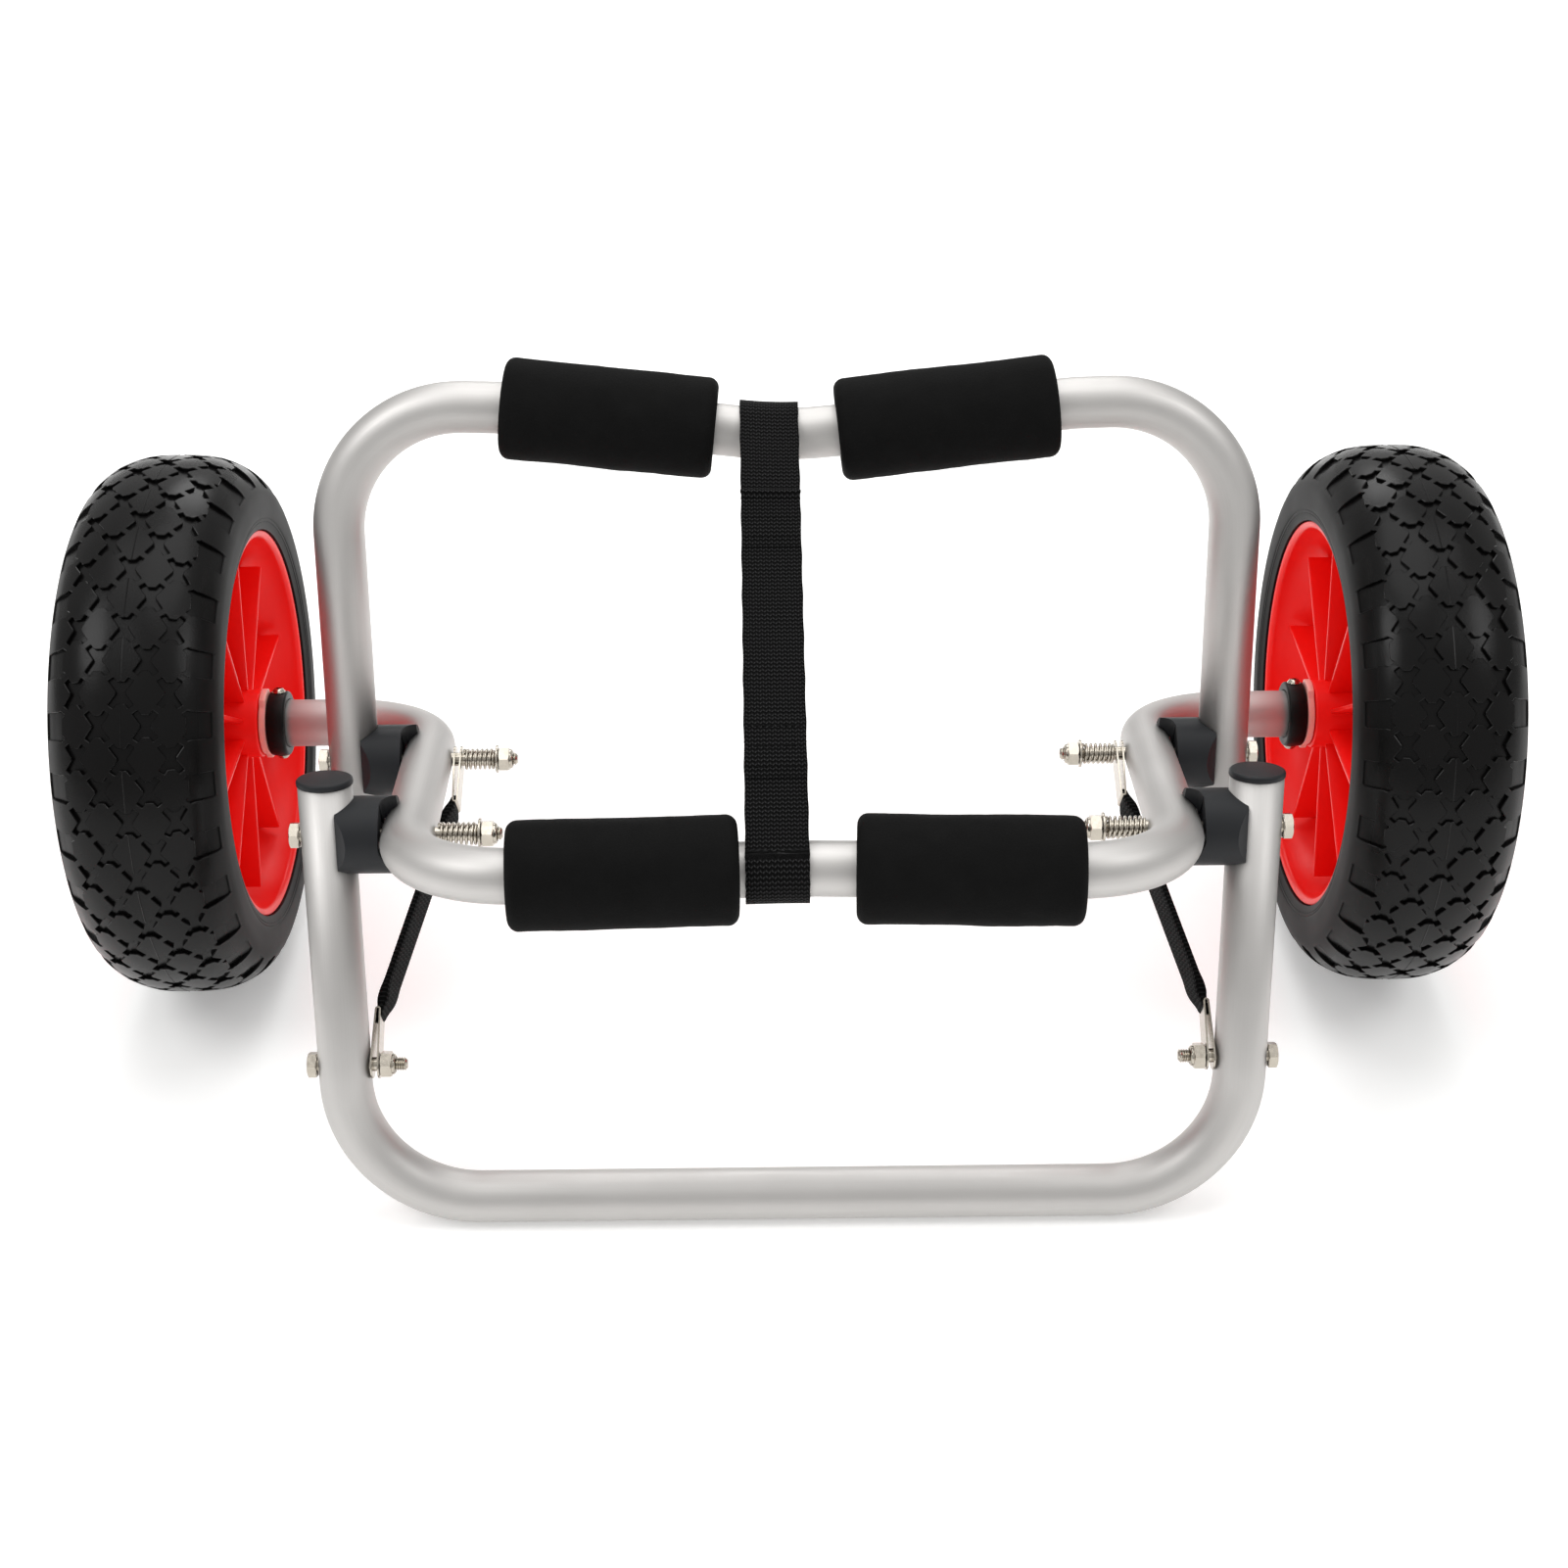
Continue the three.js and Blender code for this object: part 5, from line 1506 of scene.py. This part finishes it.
def axle_plug(word):
    inside, face = AXLE_END - AXLE_PLUG_DEPTH, AXLE_END + SEAT_GAP
    corners = [
        (inside, 0),
        (inside, PLUG_RADIUS),
        (face, PLUG_RADIUS),
        (face, TUBE_RADIUS, 0.2 * MM),
        (face + AXLE_PLUG_DISC, TUBE_RADIUS, 1 * MM),
        (face + AXLE_PLUG_DISC, 0),
    ]
    set_in_place(f"{word}_end_plug", f"{word}_axle_plug", lathe(corners), axle, charcoal)


for word in SIDES:
    hub_washer(word, "inner")
    hub_washer(word, "outer")
    hub_bush(word)
    wheel_pin(word)
    axle_plug(word)
print("Axle hardware on both sides")

# %% [markdown]
# ## Rims
#
# The rim is one red moulding: a barrel under the tyre, a dish in the middle, a hub, and ten thin
# ribs on each side that run from the hub to just below the lip. The round part is turned. One rib
# is a flat face that is extruded to 2 mm and bevelled, and spin repeats it ten times.

# %% Rims
RIM_HALF_WIDTH = 34.2 * MM
SEAT_RADIUS, LIP_RADIUS, DISH_RADIUS = 91.5 * MM, 88 * MM, 56 * MM
LIP_EDGE, LIP_ROUND = 0.8 * MM, 2.4 * MM
DISH_HALF_WALL, DISH_STEPS = 2 * MM, 20
HUB_RADIUS, HUB_INNER, HUB_OUTER = 16 * MM, 31.4 * MM + HUB_CREEP, 23.5 * MM
HUB_BORE, HUB_FOOT = BUSH_RADIUS + 0.3 * MM, HUB_RADIUS + 0.6 * MM
RIM_FACES = 144
RIBS, RIB_HALF, RIB_END_RADIUS, RIB_END_HEIGHT = 10, 0.9 * MM, 82 * MM, 26 * MM
RIB_SETBACK, RIB_EDGE, RIB_OVERLAP = 6.5 * MM, 0.55 * MM, 1.5 * MM
RIB_ROOT = 0.2 * DISH_HALF_WALL


def rim_side(way, hub_height):
    """Outline of one side of the rim, from the bore over the hub and the curved dish to the lip."""
    depth, rise = RIM_HALF_WIDTH - DISH_HALF_WALL, LIP_RADIUS - DISH_RADIUS
    angles = [math.pi / 2 * step / DISH_STEPS for step in range(DISH_STEPS)]
    dish = [(DISH_HALF_WALL + depth * (1 - math.cos(a)), DISH_RADIUS + rise * math.sin(a)) for a in angles]
    return [
        (way * hub_height, HUB_BORE, 0.4 * MM),
        (way * hub_height, HUB_RADIUS, 0.8 * MM),
        (way * DISH_HALF_WALL, HUB_FOOT, 3 * MM),
        *((way * x, r) for x, r in dish),
        (way * RIM_HALF_WIDTH, LIP_RADIUS, LIP_ROUND),
        (way * RIM_HALF_WIDTH, SEAT_RADIUS, LIP_EDGE),
    ]


def rib_set(way, hub_height):
    """All the ribs on one side of the dish."""
    bm = bmesh.new()
    foot = HUB_RADIUS - RIB_OVERLAP
    inside = way * RIB_ROOT
    near_hub, near_lip = way * (hub_height - RIB_SETBACK), way * RIB_END_HEIGHT
    corners = [(inside, foot), (near_hub, foot), (near_lip, RIB_END_RADIUS), (inside, RIB_END_RADIUS)]
    face = bm.faces.new([bm.verts.new((x, -RIB_HALF, r)) for x, r in corners])
    extrude_faces(bm, [face], (0, 2 * RIB_HALF, 0))
    bmesh.ops.recalc_face_normals(bm, faces=bm.faces)
    bmesh.ops.bevel(
        bm,
        geom=bm.edges[:],
        offset=RIB_EDGE,
        offset_type="OFFSET",
        segments=3,
        profile=0.5,
        affect="EDGES",
        material=-1,
    )
    repeat_round(bm, RIBS)
    return about_x(bm, math.pi / 2)


for word in SIDES:
    barrel = lathe(rim_side(-1, HUB_INNER) + rim_side(1, HUB_OUTER)[::-1], RIM_FACES)
    bm = join(barrel, rib_set(-1, HUB_INNER), rib_set(1, HUB_OUTER))
    set_in_place(f"{word}_moulded_rim", f"{word}_rim", bm, middle(f"{word}_tyre"), red_plastic)
print("Rims with", RIBS, "ribs a side")

# %% [markdown]
# ## Tyres
#
# The tread is laid out the way its mould would be: flat. One repeat of the pattern is a sheet whose
# first direction follows the tyre's cross-section from bead to bead, and whose second follows the
# circumference. The outlines of the grooves are cut into the sheet together with a slightly wider
# copy of each. The faces inside them are lowered a little, which slopes the strip between the two
# outlines, and then extruded down. Every vertex is wrapped onto the tyre, and Spin copies the
# repeat 28 times.
#
# The grooves are crosses. They lie on the corners of a diamond grid, and their arms point along
# the diamonds' sides without quite meeting, which leaves blocks that are tied to each other. On
# the shoulders the outermost crosses open into gaps between square lugs.

# %% The tyre's cross-section
TYRE_RADIUS = 127 * MM
SEAM_HEIGHT, SEAM_HALF_WIDTH = 0.25 * MM, 0.35 * MM
CROWN_RADIUS = TYRE_RADIUS - SEAM_HEIGHT
CROWN_FLAT = 6 * MM
SHOULDER_RADIUS, SHOULDER_STEPS = 105 * MM, 60
WALL_BULGE, WALL_TUCK, WALL_STEPS = 0.3 * MM, 1.6 * MM, 30
WALL_X = 37 * MM - WALL_BULGE
BEAD_RADIUS = SEAT_RADIUS + 0.3 * MM
SAME_PLACE, JUST_INSIDE = 1e-6, 1e-9


def section_outline():
    """Half of the cross-section as (x, radius) points: crown, shoulder, sidewall and bead."""
    points = [Vector((0, CROWN_RADIUS)), Vector((CROWN_FLAT, CROWN_RADIUS))]
    reach = WALL_X - CROWN_FLAT
    drop = CROWN_RADIUS - SHOULDER_RADIUS
    for step in range(1, SHOULDER_STEPS + 1):
        angle = math.pi / 2 * step / SHOULDER_STEPS
        x, radius = CROWN_FLAT + reach * math.sin(angle), SHOULDER_RADIUS + drop * math.cos(angle)
        points.append(Vector((x, radius)))
    for step in range(1, WALL_STEPS + 1):
        share = step / WALL_STEPS
        x = WALL_X + WALL_BULGE * math.sin(math.pi * share) - WALL_TUCK * share**3
        points.append(Vector((x, SHOULDER_RADIUS - (SHOULDER_RADIUS - BEAD_RADIUS) * share)))
    return points


outline = section_outline()
distances = [0.0]
for before, after in zip(outline, outline[1:]):
    distances.append(distances[-1] + (after - before).length)
SECTION_LENGTH = distances[-1]


def on_section(across):
    """Point and outward direction of the cross-section at a distance from the crown's middle."""
    if abs(across) < SAME_PLACE:
        return Vector((0, CROWN_RADIUS)), Vector((0, 1))
    target = min(abs(across), SECTION_LENGTH - JUST_INSIDE)
    number = next(number for number, far in enumerate(distances[1:]) if far >= target)
    share = (target - distances[number]) / (distances[number + 1] - distances[number])
    point = outline[number].lerp(outline[number + 1], share)
    before = outline[max(number - 1, 0)]
    after = outline[min(number + 2, len(outline) - 1)]
    along = (after - before).normalized()
    side = math.copysign(1, across)
    return Vector((side * point.x, point.y)), Vector((side * -along.y, along.x))


print("Half section is", round(SECTION_LENGTH / MM, 1), "mm from crown to bead")

# %% Outlines of the grooves
REPEATS = 28
PITCH = math.tau * TYRE_RADIUS / REPEATS
COLUMN = 10.3 * MM
DIAGONAL = Vector((COLUMN, PITCH / 2))
LEAN = DIAGONAL.normalized()
ARM_HALF_WIDTH = 1.4 * MM
ARM_REACH = 0.42 * DIAGONAL.length
BLOCK_TIP, BLOCK_SIDE_TIP = 4.7 * MM, 2.1 * MM
TIP_ROUND, ARM_END_ROUND = 1.0 * MM, 0.3 * MM
GAP_START, GAP_FADE, GAP_END = 27.4 * MM, 33 * MM, 40.5 * MM
GAP_HALF, GAP_TAPER, GAP_SLANT = 6.4 * MM, 2.6 * MM, 2.2 * MM
LAST_COLUMN = 3
ROUND_STEPS = 3


def with_mirror(corners, across, around):
    """Corners of an outline and then their mirror image, in the order that goes on round it."""
    return corners + [(across * x, around * y, fillet) for x, y, fillet in reversed(corners)]


def cross_outline(middle_x, middle_y):
    """Rounded outline of a cross: four square arm ends with a blunt block tip between each two."""
    end = LEAN * ARM_REACH
    width = Vector((LEAN.y, -LEAN.x)) * ARM_HALF_WIDTH
    quarter = [
        ((BLOCK_TIP * LEAN.x - ARM_HALF_WIDTH) / LEAN.y, BLOCK_TIP, TIP_ROUND),
        (*(end - width), ARM_END_ROUND),
        (*(end + width), ARM_END_ROUND),
        (BLOCK_SIDE_TIP, (BLOCK_SIDE_TIP * LEAN.y - ARM_HALF_WIDTH) / LEAN.x, TIP_ROUND / 3),
    ]
    whole = with_mirror(with_mirror(quarter, 1, -1), -1, 1)
    return filleted([(middle_x + x, middle_y + y, fillet) for x, y, fillet in whole], ROUND_STEPS)


def gap_outline(way, middle_y):
    """Outline of the gap between two shoulder lugs, with the inward arms of its cross."""
    end = Vector((COLUMN * LAST_COLUMN - LEAN.x * ARM_REACH, LEAN.y * ARM_REACH))
    width = Vector((LEAN.y, LEAN.x)) * ARM_HALF_WIDTH
    upper = [
        (GAP_START, GAP_HALF - GAP_TAPER, TIP_ROUND),
        (*(end - width), ARM_END_ROUND),
        (*(end + width), ARM_END_ROUND),
        (GAP_START + GAP_SLANT, GAP_HALF, TIP_ROUND),
        (GAP_END, GAP_HALF, TIP_ROUND),
    ]
    whole = with_mirror(upper, 1, -1)
    return filleted([(way * x, middle_y + y, fillet) for x, y, fillet in whole], ROUND_STEPS)


def around(outline):
    """Each point of an outline between the ones before and after it."""
    return zip(outline[-1:] + outline[:-1], outline, outline[1:] + outline[:1])


def counterclockwise(outline):
    """What lies on the left of an outline counts as its inside."""
    turning = sum(here.cross(after) for _, here, after in around(outline))
    return outline if turning > 0 else outline[::-1]


def widened(outline, by):
    """The same outline moved outwards, along the middle between the two sides of each corner."""
    moved = []
    for before, here, after in around(outline):
        first, second = (here - before).normalized(), (after - here).normalized()
        outwards = Vector((first.y + second.y, -first.x - second.x)).normalized()
        moved.append(here + outwards * (by / outwards.dot(Vector((first.y, -first.x)))))
    return moved


def groove_outlines():
    """Every groove that reaches into one repeat."""
    outlines = []
    for row in range(-1, 4):
        y = PITCH / 2 * row
        columns = [column for column in range(1 - LAST_COLUMN, LAST_COLUMN) if (column + row) % 2 == 0]
        outlines += [cross_outline(COLUMN * column, y) for column in columns]
        if (LAST_COLUMN + row) % 2 == 0:
            outlines += [gap_outline(way, y) for way in (-1, 1)]
    return [counterclockwise(outline) for outline in outlines]


print("Grooves that reach into one repeat:", len(groove_outlines()))

# %% One repeat of the tread, flat
SEAM_LINES = [-SEAM_HALF_WIDTH, 0.0, SEAM_HALF_WIDTH]
ACROSS_LINES = [3.4, 6.9, 10.3, 13.7, 17.2, 20.6, 23.9, 27.4, 30.2, 33, 35.5, 38, 40.5, 42.5]
BEAD_LINES = [45, 47, 49, 51, 53, 54.6, 55.2, 55.6, 56, 56.8, 57.2, 57.6]
AROUND_STEPS = 8
SHEET_MARGIN = 0.75 * PITCH
TREAD_EDGE = 0.28 * MM
CUT_TOLERANCE = 1e-4


def tread_sheet():
    """Flat sheet of one repeat with the grooves' outlines cut in, and the faces inside them."""
    points, lines, outlines = [], [], []
    for outline in groove_outlines():
        outlines.append(list(range(len(points), len(points) + len(outline))))
        points += outline
        wider = list(range(len(points), len(points) + len(outline)))
        lines += zip(wider, wider[1:] + wider[:1])
        points += widened(outline, TREAD_EDGE)
    across_lines = [line * MM for line in ACROSS_LINES + BEAD_LINES] + [SECTION_LENGTH]
    for x in SEAM_LINES + across_lines + [-line for line in across_lines]:
        lines.append((len(points), len(points) + 1))
        points += [Vector((x, -SHEET_MARGIN)), Vector((x, PITCH + SHEET_MARGIN))]
    for step in range(AROUND_STEPS + 1):
        y = PITCH * step / AROUND_STEPS
        lines.append((len(points), len(points) + 1))
        points += [Vector((-SECTION_LENGTH, y)), Vector((SECTION_LENGTH, y))]
    in_mm = [point / MM for point in points]
    places, _, faces, _, _, inside = geometry.delaunay_2d_cdt(in_mm, lines, outlines, 0, CUT_TOLERANCE)
    bm = bmesh.new()
    verts = [bm.verts.new((place.x * MM, place.y * MM, 0)) for place in places]
    sunk = []
    for corners, origins in zip(faces, inside):
        middle_y = sum(places[corner].y for corner in corners) / len(corners) * MM
        if 0 < middle_y < PITCH:
            face = bm.faces.new([verts[corner] for corner in corners])
            if origins:
                sunk.append(face)
    bmesh.ops.delete(bm, geom=[vert for vert in bm.verts if not vert.link_faces], context="VERTS")
    return bm, sunk


bm, grooves = tread_sheet()
print("One repeat has", len(bm.faces), "faces,", len(grooves), "of them in grooves")

# %% Grooves, wrapping and the whole tyre
GROOVE_DEPTH, GAP_END_DEPTH = 1.7 * MM, 0.7 * MM
RING_DEPTH, RING_WIDTH = 0.35 * MM, 0.35 * MM
RING_RIDGES = (55.6 * MM, 57.2 * MM)


def on_repeat_edge(face):
    """Walls that close the grooves at the repeat's own edges, where the next repeat goes on."""
    ends = [vert.co.y for vert in face.verts]
    return max(ends) < SAME_PLACE or min(ends) > PITCH - SAME_PLACE


def ring_dip(across):
    """Fine concentric rings in the sidewall next to the bead."""
    return max(math.exp(-(((abs(across) - ridge) / RING_WIDTH) ** 2)) for ridge in RING_RIDGES)


for vert in {vert for face in grooves for vert in face.verts}:
    vert.co.z = -TREAD_EDGE
floors, _ = new_row(bmesh.ops.extrude_face_region(bm, geom=grooves)["geom"])
bmesh.ops.delete(bm, geom=grooves, context="FACES")
for vert in floors:
    fade = smooth_step(abs(vert.co.x), GAP_FADE, GAP_END)
    vert.co.z = -GROOVE_DEPTH * (1 - fade) - GAP_END_DEPTH * fade
bmesh.ops.delete(bm, geom=[face for face in bm.faces if on_repeat_edge(face)], context="FACES")
for vert in bm.verts:
    across, travelled, height = vert.co
    if abs(across) <= SEAM_HALF_WIDTH * 0.5 and height == 0:
        height = SEAM_HEIGHT
    height -= RING_DEPTH * ring_dip(across)
    point, outwards = on_section(across)
    x, radius = point + outwards * height
    angle = math.tau / REPEATS * travelled / PITCH
    vert.co = Vector((x, radius * math.sin(angle), radius * math.cos(angle)))
repeat_round(bm, REPEATS, -1)
bmesh.ops.remove_doubles(bm, verts=bm.verts, dist=0.01 * MM)
bmesh.ops.bridge_loops(bm, edges=open_edges(bm))
print("The tyre has", len(bm.faces), "faces and", len(open_edges(bm)), "open edges")

right_tyre = bm.copy()
for word, bm in zip(SIDES, (bm, right_tyre)):
    set_in_place(f"{word}_treaded_tyre", f"{word}_tyre", bm, middle(f"{word}_tyre"), tyre_rubber)

# %% [markdown]
